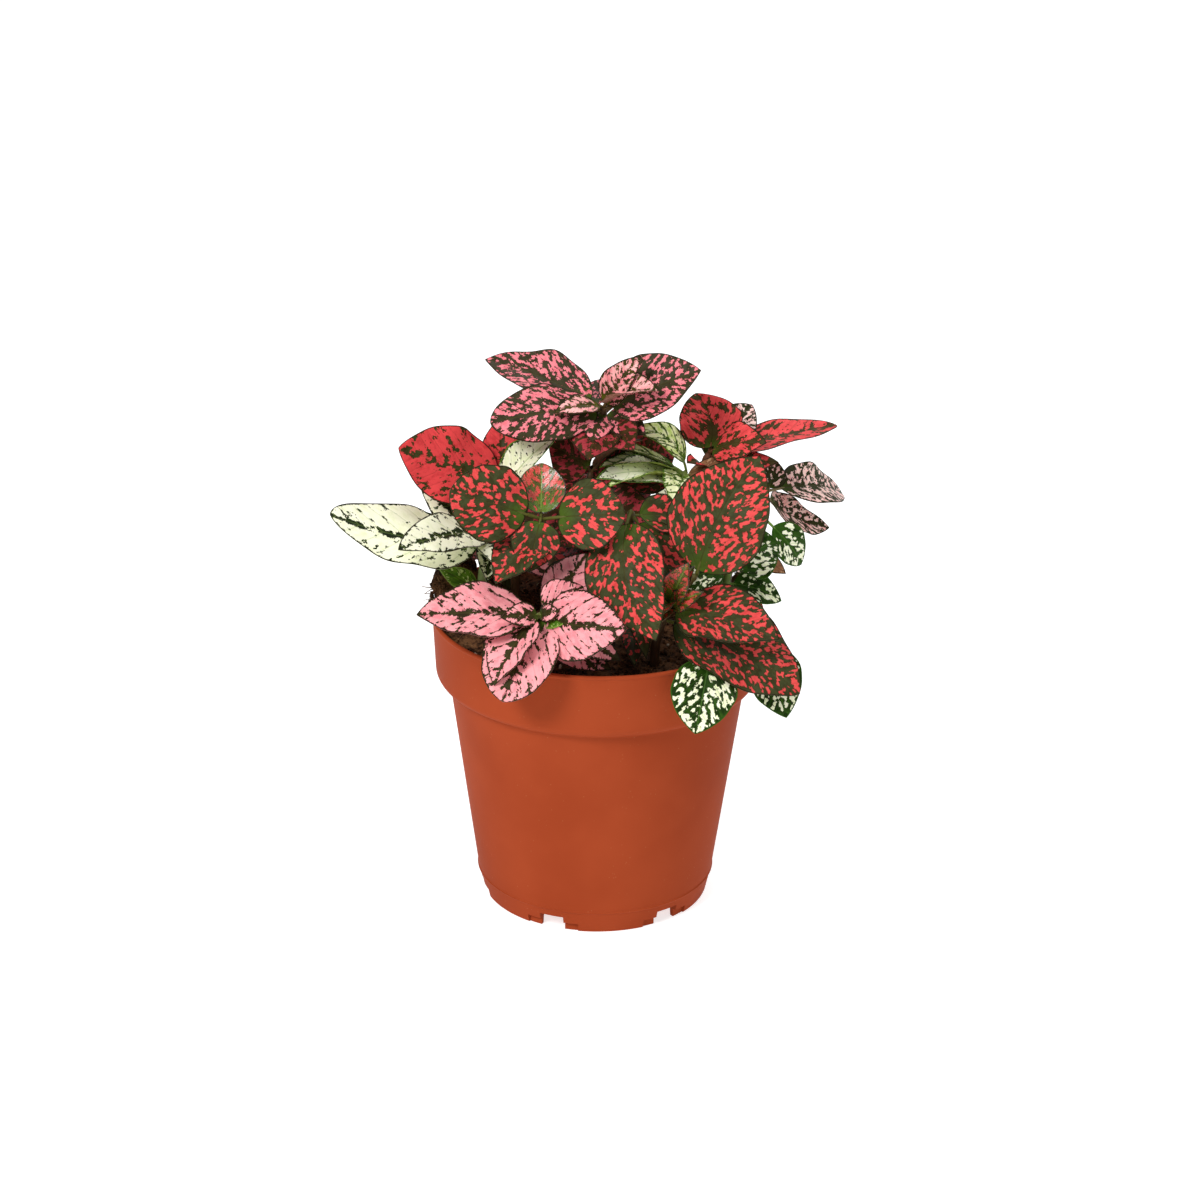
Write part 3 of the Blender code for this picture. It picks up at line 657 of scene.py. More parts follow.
@dataclass(frozen=True)
class StalkFinish:
    """Skin of stems, petioles and midribs.

    Attributes:
        name: Name of the material.
        low: Colour near the soil.
        high: Colour near the tips.
    """

    name: str
    low: Colour
    high: Colour

    def make(self) -> bpy.types.Material:
        """Make the material.

        Returns:
            The material.
        """
        bench = Bench(self.name)
        along, _, _ = bench.mark("blade")
        place = bench.place()
        streaks = bench.noise(place, 500.0, 3.0)
        share = (along + (streaks - 0.5) * 0.8).rise(0.1, 0.9)
        colour = bench.blend(share, self.low, self.high)
        return bench.finish(colour, 0.5, streaks, 0.15, Specular_IOR_Level=0.2)


@dataclass(frozen=True)
class PeatFinish:
    """Moist peat, fibres or pale bits.

    Attributes:
        name: Name of the material.
        dark: Colour of its hollows.
        light: Colour of its raised bits.
    """

    name: str
    dark: Colour
    light: Colour

    def make(self) -> bpy.types.Material:
        """Make the material.

        Returns:
            The material.
        """
        bench = Bench(self.name)
        place = bench.place()
        grains = bench.noise(place, 700.0, 4.0, 0.65)
        patches = bench.noise(place, 160.0, 2.0)
        share = (grains * 0.7 + patches * 0.5).rise(0.48, 0.75)
        colour = bench.blend(share, self.dark, self.light)
        return bench.finish(colour, 0.92, grains, 0.5, Specular_IOR_Level=0.1)


@dataclass(frozen=True)
class PotFinish:
    """Satin terracotta-coloured plastic with tiny pale flecks.

    Attributes:
        name: Name of the material.
        body: Main colour.
        warm: Lighter patches.
        fleck: Colour of the flecks.
    """

    name: str = "pot_plastic_skin"
    body: Colour = (0.300, 0.047, 0.0145)
    warm: Colour = (0.340, 0.056, 0.018)
    fleck: Colour = (0.50, 0.20, 0.10)

    def make(self) -> bpy.types.Material:
        """Make the material.

        Returns:
            The material.
        """
        bench = Bench(self.name)
        place = bench.place()
        cloud = bench.noise(place, 22.0, 3.0)
        grain = bench.noise(place, 900.0, 2.0)
        colour = bench.blend(cloud.rise(0.35, 0.65), self.body, self.warm)
        flecks = bench.cells(place, 700.0).fall(0.08, 0.16) * bench.noise(place, 300.0).rise(0.58, 0.62)
        colour = bench.blend(flecks * 0.35, colour, self.fleck)
        rough = (cloud - 0.5) * 0.15 + 0.55
        return bench.finish(colour, rough, grain, 0.03, Specular_IOR_Level=0.02)


class Look(Enum):
    """Finishes of the leaves, each with the stalks that go with them."""

    ROSE = "rose"
    ROSE_YOUNG = "rose_young"
    RED = "red"
    SCARLET = "scarlet"
    RED_GREEN = "red_green"
    RED_YOUNG = "red_young"
    WHITE = "white"
    WHITE_YOUNG = "white_young"
    PINK = "pink"
    WHITE_GREEN = "white_green"
    BLUSH = "blush"
    CREAM = "cream"
    # Painted shade: red and rose leaves darkened to stand in for the shade deep inside the plant.
    SHADED_RED = "dark_red"
    GREEN = "green"
    DRY = "dry"


LEAF_FINISHES = {
    Look.ROSE: LeafFinish(
        "rose_leaf", (0.84, 0.225, 0.26), (0.66, 0.130, 0.16), 0.515, grain=1.7, cell=0.34, speckle=0.03,
        ground=(0.046, 0.040, 0.018), ground_deep=(0.030, 0.024, 0.010), under=(0.25, 0.08, 0.08)),
    Look.ROSE_YOUNG: LeafFinish(
        "young_rose_leaf", (0.92, 0.46, 0.44), (0.80, 0.24, 0.26), 0.46, grain=1.1, stretch=2.6, cell=0.3,
        ground=(0.080, 0.064, 0.010), base=(0.18, 0.20, 0.010), base_pull=0.18, under=(0.34, 0.16, 0.10)),
    Look.RED: LeafFinish(
        "red_leaf", (0.70, 0.060, 0.062), (0.52, 0.036, 0.040), 0.372, grain=2.0, stretch=1.2,
        patches=0.4, rib_pull=0.17, rib_reach=6.0, vein_pull=0.03, edge_pull=0.03, base_pull=0.0,
        ground=(0.046, 0.048, 0.014), ground_deep=(0.034, 0.026, 0.006), vein_show=0.15, rib_show=0.3,
        under=(0.34, 0.045, 0.045)),
    Look.SCARLET: LeafFinish(
        "scarlet_leaf", (0.76, 0.076, 0.077), (0.60, 0.048, 0.050), 0.458, grain=2.2, stretch=1.6,
        rib_pull=0.14, rib_reach=2.8, ground=(0.060, 0.046, 0.014), ground_deep=(0.045, 0.030, 0.008),
        under=(0.34, 0.05, 0.05)),
    Look.RED_GREEN: LeafFinish(
        "red_green_leaf", (0.72, 0.076, 0.072), (0.54, 0.046, 0.044), 0.531, grain=1.8, stretch=1.35,
        cell=0.2, speckle=0.01, detail=1.3, rib_pull=0.15, base_reach=0.34),
    Look.RED_YOUNG: LeafFinish(
        "young_red_leaf", (0.60, 0.060, 0.050), (0.36, 0.045, 0.020), 0.49, grain=1.5, stretch=1.8,
        ground=(0.085, 0.090, 0.008), ground_deep=(0.050, 0.050, 0.006), base=(0.090, 0.170, 0.010),
        base_pull=0.08, base_reach=0.65, vein=(0.16, 0.24, 0.02), under=(0.30, 0.20, 0.05), gloss=0.28, shine=0.5),
    Look.WHITE: LeafFinish(
        "white_leaf", (0.92, 0.92, 0.70), (0.82, 0.84, 0.57), 0.325, grain=1.8, stretch=1.4,
        patches=0.35, ground=(0.014, 0.028, 0.006), ground_deep=(0.008, 0.014, 0.004), rib_pull=0.27,
        rib_reach=4.4, vein_pull=0.09, edge_pull=0.20, base_pull=0.02, base=(0.20, 0.36, 0.05),
        vein=(0.24, 0.34, 0.08), vein_show=0.25, rib_show=0.2, under=(0.62, 0.68, 0.40)),
    Look.WHITE_YOUNG: LeafFinish(
        "young_white_leaf", (0.92, 0.93, 0.72), (0.80, 0.86, 0.56), 0.345, grain=1.2, stretch=1.2,
        ground=(0.014, 0.028, 0.006), ground_deep=(0.008, 0.014, 0.004), rib_pull=0.02,
        vein_pull=0.06, edge_pull=0.28, base_pull=0.02, vein=(0.40, 0.52, 0.20), vein_show=0.4,
        margin=(0.10, 0.20, 0.03), under=(0.55, 0.66, 0.25)),
    Look.PINK: LeafFinish(
        "pink_leaf", (0.90, 0.36, 0.38), (0.78, 0.24, 0.27), 0.350, grain=1.7, stretch=1.5, patches=0.3,
        rib_pull=0.25, rib_reach=3.0, vein_pull=0.13, edge_pull=0.20, base_pull=0.03,
        ground=(0.040, 0.036, 0.012), ground_deep=(0.026, 0.018, 0.006), vein_show=0.2,
        under=(0.56, 0.20, 0.20)),
    Look.WHITE_GREEN: LeafFinish(
        "white_green_leaf", (0.96, 0.97, 0.74), (0.84, 0.90, 0.56), 0.513, grain=1.8, stretch=1.1,
        cell=0.22, detail=1.3, speckle=0.02, ground=(0.026, 0.074, 0.006), ground_deep=(0.010, 0.028, 0.003),
        base=(0.03, 0.10, 0.006), base_pull=0.2, base_reach=0.34, edge_pull=0.14, vein=(0.06, 0.15, 0.02),
        vein_show=0.4, margin=(0.030, 0.085, 0.008), under=(0.20, 0.28, 0.10)),
    Look.BLUSH: LeafFinish(
        "blush_leaf", (1.0, 0.72, 0.65), (0.96, 0.50, 0.47), 0.50, grain=1.6, stretch=1.6,
        ground=(0.034, 0.042, 0.012), ground_deep=(0.024, 0.026, 0.008), under=(0.36, 0.22, 0.17)),
    Look.CREAM: LeafFinish(
        "cream_leaf", (0.94, 0.97, 0.60), (0.60, 0.78, 0.20), 0.380, grain=1.2, stretch=1.5,
        ground=(0.10, 0.20, 0.02), ground_deep=(0.03, 0.07, 0.006), rib_pull=0.12, vein_pull=0.18,
        edge_pull=0.20, base_pull=0.10, base=(0.18, 0.32, 0.02), vein=(0.05, 0.12, 0.01), vein_show=0.9, vein_width=0.1,
        margin=(0.07, 0.16, 0.015), under=(0.40, 0.46, 0.08)),
    # Painted shade: crimson-pink spots on a dark ground, darkened for the leaves that lie in the plant's shade.
    Look.SHADED_RED: LeafFinish(
        "shaded_red_leaf", (0.42, 0.045, 0.058), (0.28, 0.026, 0.034), 0.49, grain=1.8,
        ground=(0.060, 0.034, 0.010), ground_deep=(0.036, 0.018, 0.006), under=(0.16, 0.09, 0.05)),
    Look.GREEN: LeafFinish(
        "green_leaf", (0.50, 0.60, 0.22), (0.34, 0.46, 0.12), 0.57, ground=(0.110, 0.230, 0.016), grain=1.2,
        ground_deep=(0.050, 0.130, 0.010), base=(0.08, 0.2, 0.015), margin=(0.20, 0.30, 0.05),
        under=(0.12, 0.22, 0.04)),
    Look.DRY: LeafFinish(
        "dry_leaf", (0.45, 0.26, 0.14), (0.36, 0.19, 0.10), 0.52, ground=(0.26, 0.12, 0.055),
        ground_deep=(0.16, 0.07, 0.035), vein=(0.14, 0.06, 0.03), base=(0.2, 0.1, 0.04),
        under=(0.30, 0.16, 0.08), gloss=0.65),
}


STALK_FINISHES = {
    Look.ROSE: StalkFinish("rose_stalk", (0.07, 0.030, 0.018), (0.10, 0.060, 0.020)),
    Look.RED: StalkFinish("red_stalk", (0.10, 0.05, 0.022), (0.24, 0.05, 0.035)),
    Look.SCARLET: StalkFinish("scarlet_stalk", (0.09, 0.045, 0.020), (0.17, 0.060, 0.025)),
    Look.RED_GREEN: StalkFinish("red_green_stalk", (0.07, 0.035, 0.016), (0.085, 0.090, 0.014)),
    Look.WHITE: StalkFinish("white_stalk", (0.16, 0.22, 0.07), (0.30, 0.40, 0.12)),
    Look.PINK: StalkFinish("pink_stalk", (0.14, 0.15, 0.05), (0.20, 0.22, 0.06)),
    Look.WHITE_GREEN: StalkFinish("white_green_stalk", (0.12, 0.17, 0.04), (0.16, 0.27, 0.05)),
    Look.BLUSH: StalkFinish("blush_stalk", (0.13, 0.10, 0.05), (0.20, 0.16, 0.07)),
    Look.CREAM: StalkFinish("cream_stalk", (0.14, 0.18, 0.05), (0.26, 0.36, 0.08)),
    Look.SHADED_RED: StalkFinish("dark_red_stalk", (0.07, 0.035, 0.016), (0.10, 0.05, 0.018)),
}


@dataclass(frozen=True)
class Leaf:
    """One leaf, as in the part's source.

    Attributes:
        at: Place along the stem, from 0 at the soil to 1 at the top.
        tip: Place of the tip.
        width: Full width of the blade.
        face: Way that the upper side looks.
        arch: Rise of the middle of the leaf, as a share of its length.
        fold: Rise of the two halves away from the midrib, per unit of width.
        bow: Sideways bend of the midrib.
        petiole: Share of the length without a blade.
        blunt: 0 for a pointed leaf and 1 for a round one.
        base: Where the blade's petiole starts, when a long stalk leads to it.
        look: Its finish, where it isn't its stem's.
    """

    at: float
    tip: Triple
    width: float
    face: Triple
    arch: float = 0.1
    fold: float = 0.2
    bow: float = 0.0
    petiole: float = 0.12
    blunt: float = 0.15
    base: Triple | None = None
    look: Look | None = None


@dataclass(frozen=True)
class Stem:
    """One leafy stem with its leaves.

    Attributes:
        node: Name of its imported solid.
        root: Place in the soil, seen from above.
        top: Place of the topmost pair of leaves.
        look: Finish of its leaves.
        leaves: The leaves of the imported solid, topmost first.
        shoots: Small leaves that only the scene has, inside the solids' reach.
    """

    node: str
    root: tuple[float, float]
    top: Triple
    look: Look
    leaves: tuple[Leaf, ...]
    shoots: tuple[Leaf, ...] = ()


@dataclass(frozen=True)
class BackStem:
    """A leafy stem on the side that the photograph doesn't show.

    Attributes:
        node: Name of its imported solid.
        root: Place in the soil, seen from above.
        top: Place of the topmost pair of leaves.
        look: Finish of its leaves.
        heading: Direction of the first leaf, seen from above, in degrees.
        reach: Length of the longest leaves.
        levels: Number of pairs of leaves.
    """

    node: str
    root: tuple[float, float]
    top: Triple
    look: Look
    heading: float
    reach: float
    levels: int = 4


FRONT_STEMS = (
    Stem("leafy_stem_rose_top", (-2, 8), (1, 5, 184), Look.ROSE, (
        Leaf(1.0, (-41, 18, 197), 25, (-0.05, -0.3, 0.95), arch=0.05),
        Leaf(0.98, (-38, -13, 184), 22, (-0.25, -0.75, 0.6), fold=-0.05, blunt=0.85),
        Leaf(1.0, (14, -3, 206), 12, (-0.4, -0.85, 0.3), fold=0.3, look=Look.ROSE_YOUNG),
        Leaf(0.99, (35, 0, 200), 26, (0.2, -0.6, 0.77), arch=0.03),
        Leaf(1.0, (20, -14, 197), 14, (0.1, -0.5, 0.85), fold=0.6, look=Look.ROSE_YOUNG),
        Leaf(1.0, (-16, -10, 187), 9, (-0.1, -0.6, 0.8), look=Look.ROSE_YOUNG),
        # These two lower rose leaves take the painted-shade finish, darkened for the shade under the top leaves.
        Leaf(0.92, (-4, -16, 172), 20, (-0.1, -0.8, 0.5), look=Look.SHADED_RED),
        Leaf(0.92, (12, -14, 175), 17, (0.1, -0.8, 0.5), look=Look.SHADED_RED),
        Leaf(0.96, (16, -6, 178), 13, (0.1, -0.7, 0.7)),
        Leaf(0.97, (-3, -9, 176), 12, (0, -0.8, 0.6)),
        Leaf(0.97, (-17, 45, 176), 24, (-0.1, 0.3, 0.95)),
        Leaf(0.96, (23, 41, 176), 23, (0.2, 0.3, 0.9)),
    )),
    Stem("leafy_stem_red_left", (-30, 12), (-33, 2, 156), Look.RED, (
        Leaf(1.0, (-70, -14, 175), 28, (-0.4, -0.75, 0.55), arch=0, fold=0.05, blunt=0.4),
        Leaf(0.98, (-36, 12, 177), 15, (-0.1, -0.8, 0.6)),
        Leaf(0.95, (-62, 30, 150), 22, (-0.3, 0.2, 0.95)),
        Leaf(0.8, (-38, 42, 146), 22, (0.0, 0.3, 0.95)),
    ), (
        # Painted shade: this inner shoot takes the darkened red finish.
        Leaf(0.8, (-17, -3, 139), 17, (0, -0.8, 0.6), look=Look.SHADED_RED),
    )),
    Stem("leafy_stem_red_green_centre", (-14, -18), (-20, -30, 156), Look.RED_GREEN, (
        Leaf(0.98, (-51, -40, 169), 27, (-0.25, -0.85, 0.45), petiole=0.28, blunt=0.85),
        Leaf(1.0, (-20, -22, 173), 17, (0, -0.85, 0.45), blunt=0.5, fold=0.3, look=Look.RED_YOUNG),
        Leaf(1.0, (-24, -44, 141), 18, (0, -0.85, 0.5)),
        Leaf(0.98, (9, -38, 160), 25, (0.2, -0.8, 0.5), blunt=0.8, petiole=0.3),
        Leaf(0.85, (-35, -52, 140), 19, (-0.1, -0.5, 0.85)),
    )),
    Stem("leafy_stem_white_left", (-42, -2), (-35, 0, 151), Look.WHITE, (
        Leaf(0.62, (-93.3, -26, 154.5), 27, (-0.1, -0.55, 0.83), arch=0, fold=0.05, bow=5, blunt=0.75),
        Leaf(0.66, (-68, -52, 152), 18, (-0.1, -0.75, 0.65), arch=0.06, blunt=0.4),
        Leaf(0.66, (-63, -2, 155), 18, (-0.4, -0.5, 0.75)),
        Leaf(0.6, (-34, -28, 136), 15, (0.2, -0.8, 0.5), blunt=0.5),
        Leaf(0.55, (-39, -20, 127), 9, (0.1, -0.9, 0.4), fold=0.9),
        Leaf(1.0, (-14, -6, 178), 15, (-0.5, -0.6, 0.6), fold=0.5, look=Look.WHITE_YOUNG),
        Leaf(0.08, (-57, 0, 124), 10, (-0.1, -0.4, 0.9), look=Look.GREEN),
    )),
    Stem("leafy_stem_pink_front", (-14, -34), (-20, -48, 127), Look.PINK, (
        Leaf(1.0, (-62, -54, 129), 24, (-0.1, -0.5, 0.85), arch=0.02),
        Leaf(1.0, (-33, -58, 130), 9, (-0.1, -0.85, 0.5)),
        Leaf(1.0, (-13, -54, 131), 7, (0.1, -0.85, 0.5)),
        Leaf(0.98, (-5, -44, 136), 15, (-0.1, -0.8, 0.6), arch=0.15),
        Leaf(0.96, (10, -64, 129), 25, (0.3, -0.9, 0.35), fold=0.1, bow=-1.5),
        Leaf(0.98, (-35, -68, 109), 18, (-0.5, -0.7, 0.5), fold=0.4),
        Leaf(0.9, (-32, -70, 104), 26, (-0.2, -0.8, 0.55), blunt=0.9),
        Leaf(0.45, (0, -50, 107), 14, (0, -0.8, 0.6)),
        Leaf(0.7, (8, -50, 111), 12, (0.1, -0.8, 0.6)),
        Leaf(0.8, (-4, -26, 141), 17, (0, -0.7, 0.7)),
    ), (
        Leaf(0.9, (-8, -55, 129), 10, (0, -0.8, 0.6), look=Look.GREEN),
        Leaf(0.1, (5, -49, 107), 10, (0, -0.7, 0.7)),
    )),
    Stem("leafy_stem_red_green_middle", (12, -14), (11, -28, 158), Look.RED_GREEN, (
        Leaf(1.0, (20, -58, 122), 28, (-0.1, -0.8, 0.6), bow=-6),
        Leaf(0.97, (30, -32, 125), 21, (0.3, -0.8, 0.5)),
        Leaf(0.35, (17, -46, 110), 9, (0, -0.7, 0.7)),
        Leaf(0.95, (32, -16, 149), 16, (0.1, -0.6, 0.8)),
    ), (
        Leaf(0.10, (13, -46, 107), 9, (0, -0.7, 0.7)),
        Leaf(0.5, (-1, -30, 126), 13, (-0.1, -0.8, 0.6)),
    )),
    Stem("leafy_stem_red_green_right", (20, -34), (34, -37, 138), Look.RED_GREEN, (
        Leaf(1.0, (55, -26, 178), 35, (0, -0.95, 0.3), bow=3, petiole=0.05),
        Leaf(0.55, (62, -58, 123), 25, (0.15, -0.6, 0.8)),
        Leaf(0.45, (70, -54, 101), 32, (0.3, -0.6, 0.7), blunt=0.5),
        Leaf(0.6, (33, -46, 145), 9, (-0.2, -0.8, 0.4), fold=0.6, look=Look.RED_YOUNG),
        Leaf(0.58, (22, -48, 125), 8, (-0.2, -0.6, 0.8), look=Look.RED_YOUNG),
        Leaf(0.58, (22, -34, 128), 6, (-0.2, -0.6, 0.8), look=Look.RED_YOUNG),
    ), (
        Leaf(0.66, (31, -48, 147), 10, (-0.3, -0.9, 0.3), fold=0.4, petiole=0.2, look=Look.RED_YOUNG),
        Leaf(0.62, (21, -52, 128), 9, (-0.3, -0.7, 0.7), fold=0.3, look=Look.RED_YOUNG),
        Leaf(0.60, (36, -50, 137), 8, (0.2, -0.8, 0.5), fold=0.3, look=Look.RED_YOUNG),
    )),
    Stem("leafy_stem_white_green_right", (44, -16), (46, -18, 134), Look.WHITE_GREEN, (
        Leaf(0.1, (34, -62, 89), 23, (0, -0.95, 0.3), blunt=0.3, base=(39, -48, 114)),
        Leaf(0.15, (66, -50, 90), 20, (0.2, -0.85, 0.4), base=(56, -36, 113)),
        Leaf(0.75, (65, -14, 119), 14, (0.2, -0.5, 0.8)),
        Leaf(1.0, (63, -12, 141), 22, (0.2, -0.7, 0.7)),
        Leaf(0.95, (24, -24, 128), 20, (-0.1, -0.6, 0.8)),
        Leaf(0.9, (73, 8, 124), 14, (0.3, -0.8, 0.5), base=(60, 2, 143)),
    )),
    Stem("leafy_stem_red_right", (28, 14), (39, 15, 164), Look.SCARLET, (
        Leaf(1.0, (34, 22, 184), 23, (-0.1, -0.75, 0.65), blunt=0.4, bow=-3),
        Leaf(1.0, (59, 4, 172), 17, (0, -0.6, 0.8)),
        Leaf(0.96, (86, 34, 168), 18, (0, -0.15, 1), arch=0.03, blunt=0.6),
        Leaf(0.9, (55, 36, 175), 19, (0, -0.7, 0.7), look=Look.BLUSH),
        Leaf(0.85, (64, 14, 161), 11, (0.1, -0.6, 0.8)),
        Leaf(0.9, (31, 4, 164), 8, (-0.1, -0.6, 0.8)),
    )),
    Stem("leafy_stem_blush_right", (46, 16), (61, 22, 147), Look.BLUSH, (
        Leaf(1.0, (91.4, 64, 130), 19, (0.2, -0.6, 0.75), arch=0.08),
        Leaf(0.97, (85, 40, 126), 17, (0.1, -0.5, 0.85), arch=-0.09),
        Leaf(1.0, (64, 26, 157), 10, (0.2, -0.9, 0.3)),
        Leaf(0.5, (68, 14, 118), 9, (0.2, -0.7, 0.7), look=Look.DRY),
        Leaf(0.35, (65, 0, 113), 6, (0.2, -0.7, 0.7)),
    )),
    Stem("leafy_stem_white_back", (16, 10), (31, 12, 158), Look.CREAM, (
        Leaf(1.0, (10, 14, 173), 13, (0.3, -0.4, 0.85), arch=0.28),
        Leaf(0.97, (0, -4, 165), 15, (0, 0.05, 1)),
        Leaf(0.93, (-1, -10, 163), 14, (0, -0.5, 0.85), look=Look.WHITE_YOUNG),
        Leaf(0.96, (26, -10, 152), 15, (0, -0.9, 0.4), fold=0.6),
        Leaf(0.9, (3, -14, 161), 15, (0, 0.3, 0.93)),
    ), (
        # Painted shade: this inner shoot takes the darkened red finish.
        Leaf(0.9, (-6, 5, 160), 15, (0, -0.75, 0.65), look=Look.SHADED_RED),
        Leaf(0.95, (53, 4, 162), 10, (0, -0.4, 0.9), look=Look.DRY),
        Leaf(0.98, (-9, 7, 169), 9, (0, -0.05, 1)),
    )),
    # Painted shade: this stem inside the plant takes the darkened red finish for all its leaves.
    Stem("leafy_stem_red_middle", (-8, -2), (-3, 3, 161), Look.SHADED_RED, (
        Leaf(1.0, (-18, 1, 172), 20, (-0.2, -0.7, 0.65)),
        Leaf(0.9, (-11, -12, 154), 17, (-0.1, -0.8, 0.5)),
        Leaf(0.98, (18, -3, 172), 12, (0.1, 0.2, 0.95)),
        Leaf(0.75, (-28, -3, 146), 20, (-0.2, -0.8, 0.5)),
        Leaf(0.75, (20, -3, 146), 20, (0.2, -0.8, 0.5)),
        Leaf(0.55, (1, -20, 132), 18, (0, -0.8, 0.6)),
        Leaf(0.6, (-14, -17, 140), 17, (0, -0.8, 0.6)),
    ), (
        Leaf(0.9, (27, 22, 163), 22, (0.1, -0.8, 0.6)),
        Leaf(0.84, (20, 26, 152), 20, (0.1, -0.8, 0.6)),
    )),
)


BACK_STEMS = (
    BackStem("leafy_stem_pink_back_left", (-34, 30), (-46, 36, 130), Look.PINK, 140, 30),
    BackStem("leafy_stem_red_back", (-8, 32), (-10, 46, 138), Look.RED, 95, 30),
    BackStem("leafy_stem_white_back_right", (16, 36), (24, 52, 124), Look.WHITE, 60, 28),
    BackStem("leafy_stem_rose_back_right", (36, 34), (50, 50, 122), Look.ROSE, 20, 30),
    BackStem("leafy_stem_red_green_right_side", (46, 21), (56, 26, 117), Look.RED_GREEN, 10, 16, 2),
    BackStem("leafy_stem_red_green_back_left", (-46, 18), (-58, 28, 126), Look.RED_GREEN, 170, 18, 2),
)


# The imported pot's sizes, in millimetres
POT_HEIGHT = 109.0
RIM_RADIUS = 60.0
COLLAR_FOOT_Z = 86.0
COLLAR_FOOT_RADIUS = 58.4
BODY_TOP_Z = 83.2
BODY_TOP_RADIUS = 53.6
BODY_FOOT_Z = 8.0
BODY_FOOT_RADIUS = 43.2
FOOT_RADIUS = 41.4
WALL = 1.4
FLOOR_Z = 3.0
FLOOR_THICKNESS = 1.6

# The packed soil's surface, in millimetres
SOIL_Z = 103.0
SOIL_EDGE_DROP = 1.5
SOIL_EDGE_RADIUS = 57.7
MOUND_MIDDLE = (-52.0, 11.0)
MOUND_SPREAD = 16.0
MOUND_HEIGHT = 20.0
MOUND_OVERHANG = 2.6
HEAP_SPAN = 8.0
CLOD_HEIGHT = 1.1
ROOT_DEPTH = 12.0


def soil_height(x: Array, y: Array) -> Array:
    """Height of the soil: a level bed, a mound, low clods, and a drop towards the edge.

    Args:
        x: Places along X.
        y: Places along Y.

    Returns:
        The heights.
    """
    radius = np.hypot(x, y)
    away = np.hypot(x - MOUND_MIDDLE[0], y - MOUND_MIDDLE[1])
    mound = MOUND_HEIGHT * np.exp(-((away / MOUND_SPREAD) ** 2))
    clods = CLOD_HEIGHT * np.sin(0.21 * x + 1.3) * np.cos(0.27 * y - 0.4)
    edge = SOIL_EDGE_DROP * (radius / RIM_RADIUS) ** 4
    return SOIL_Z + mound + clods - edge


def tube_loops(path: Array, radii: Array, sides: int) -> Array:
    """Carry a round section along a path, with as little twist as it allows.

    Args:
        path: Places along the middle.
        radii: Radius at each place.
        sides: Number of its sides.

    Returns:
        The loops.
    """
    along = unit(np.gradient(path, axis=0))
    first = unit(np.cross(along, np.array([0.31, 0.87, -0.38])))
    second = np.cross(along, first)
    angles = 2 * np.pi * np.arange(sides) / sides
    ring = np.cos(angles)[None, :, None] * first[:, None] + np.sin(angles)[None, :, None] * second[:, None]
    return path[:, None] + ring * np.asarray(radii)[:, None, None]


class LeafShape:
    """The form of one leaf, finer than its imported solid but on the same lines."""

    BLADE = 0.8
    EDGE_WAVE = 0.03
    WAVES = 2.3
    TIP_HALF = 0.4
    PETIOLE_HALF = 0.85
    STATIONS = {22.0: (0.0, 0.12, 0.32, 0.54, 0.76, 0.92, 1.0), 12.0: (0.0, 0.2, 0.5, 0.8, 1.0),
                0.0: (0.0, 0.3, 0.7, 1.0)}

    def __init__(self, base: Array, leaf: Leaf, tip: Array, face: Array) -> None:
        """Set up the leaf's axes.

        Args:
            base: Where its petiole starts.
            leaf: The leaf as listed.
            tip: Its tip, after bending.
            face: Way that its upper side looks, after bending.
        """
        self.base, self.leaf = base, leaf
        self.length = float(np.linalg.norm(tip - base))
        self.along = unit(tip - base)
        self.up = unit(face - self.along * (face @ self.along))
        self.side = np.cross(self.up, self.along)
        rise, fall = 0.6 - 0.1 * leaf.blunt, 0.95 - 0.45 * leaf.blunt
        peak = rise / (rise + fall)
        self.powers = rise, fall, peak, peak ** rise * (1 - peak) ** fall

    def half(self, share: Array, least: float | None = None) -> Array:
        """Half width of the blade: share ** rise * (1 - share) ** fall, scaled to the leaf's width.

        Args:
            share: Share of the blade's length.
            least: Smallest half width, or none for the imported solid's own.

        Returns:
            The half widths.
        """
        rise, fall, peak, highest = self.powers
        full = self.leaf.width / 2 * share ** rise * (1 - share) ** fall / highest
        smallest = np.where(share < peak, self.PETIOLE_HALF, self.TIP_HALF) if least is None else least
        return np.maximum(smallest, full)

    def middle(self, share: Array) -> Array:
        """Places on the midrib: a straight line with an arch and a sideways bow, both 4t(1 - t).

        Args:
            share: Share of the leaf's length.

        Returns:
            The places.
        """
        hump = (4 * share * (1 - share))[:, None]
        line = self.base + self.length * share[:, None] * self.along
        return line + hump * (self.leaf.arch * self.length * self.up + self.leaf.bow * self.side)

    def wave(self, share: Array) -> Array:
        """Rise and fall of the edges along the leaf."""
        hump = 4 * share * (1 - share)
        return self.EDGE_WAVE * self.leaf.width * np.sin(2 * np.pi * self.WAVES * share) * hump

    def packed_points(self) -> Array:
        """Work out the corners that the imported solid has.

        Returns:
            The corners.
        """
        blade = np.array(next(value for least, value in self.STATIONS.items() if self.leaf.width >= least))
        petiole = self.leaf.petiole
        share = np.append(0.0, petiole + (1 - petiole) * blade)
        half = np.append(self.PETIOLE_HALF, self.half(blade))
        across = np.array([-1.0, 0.0, 1.0])
        rise = np.abs(across) * (self.leaf.fold * half + self.wave(share))[:, None]
        points = self.middle(share)[:, None] + across[None, :, None] * half[:, None, None] * self.side
        points = points + rise[..., None] * self.up
        offset = self.BLADE / 2 * self.up
        return np.concatenate([(points + offset).reshape(-1, 3), (points - offset).reshape(-1, 3)])


def turn_about(vector: Array, axis: Array, degrees: float) -> Array:
    """Turn a vector about an axis.

    Args:
        vector: The vector.
        axis: The axis.
        degrees: The angle.

    Returns:
        The turned vector.
    """
    return np.array(Matrix.Rotation(math.radians(degrees), 3, Vector(axis)) @ Vector(vector))


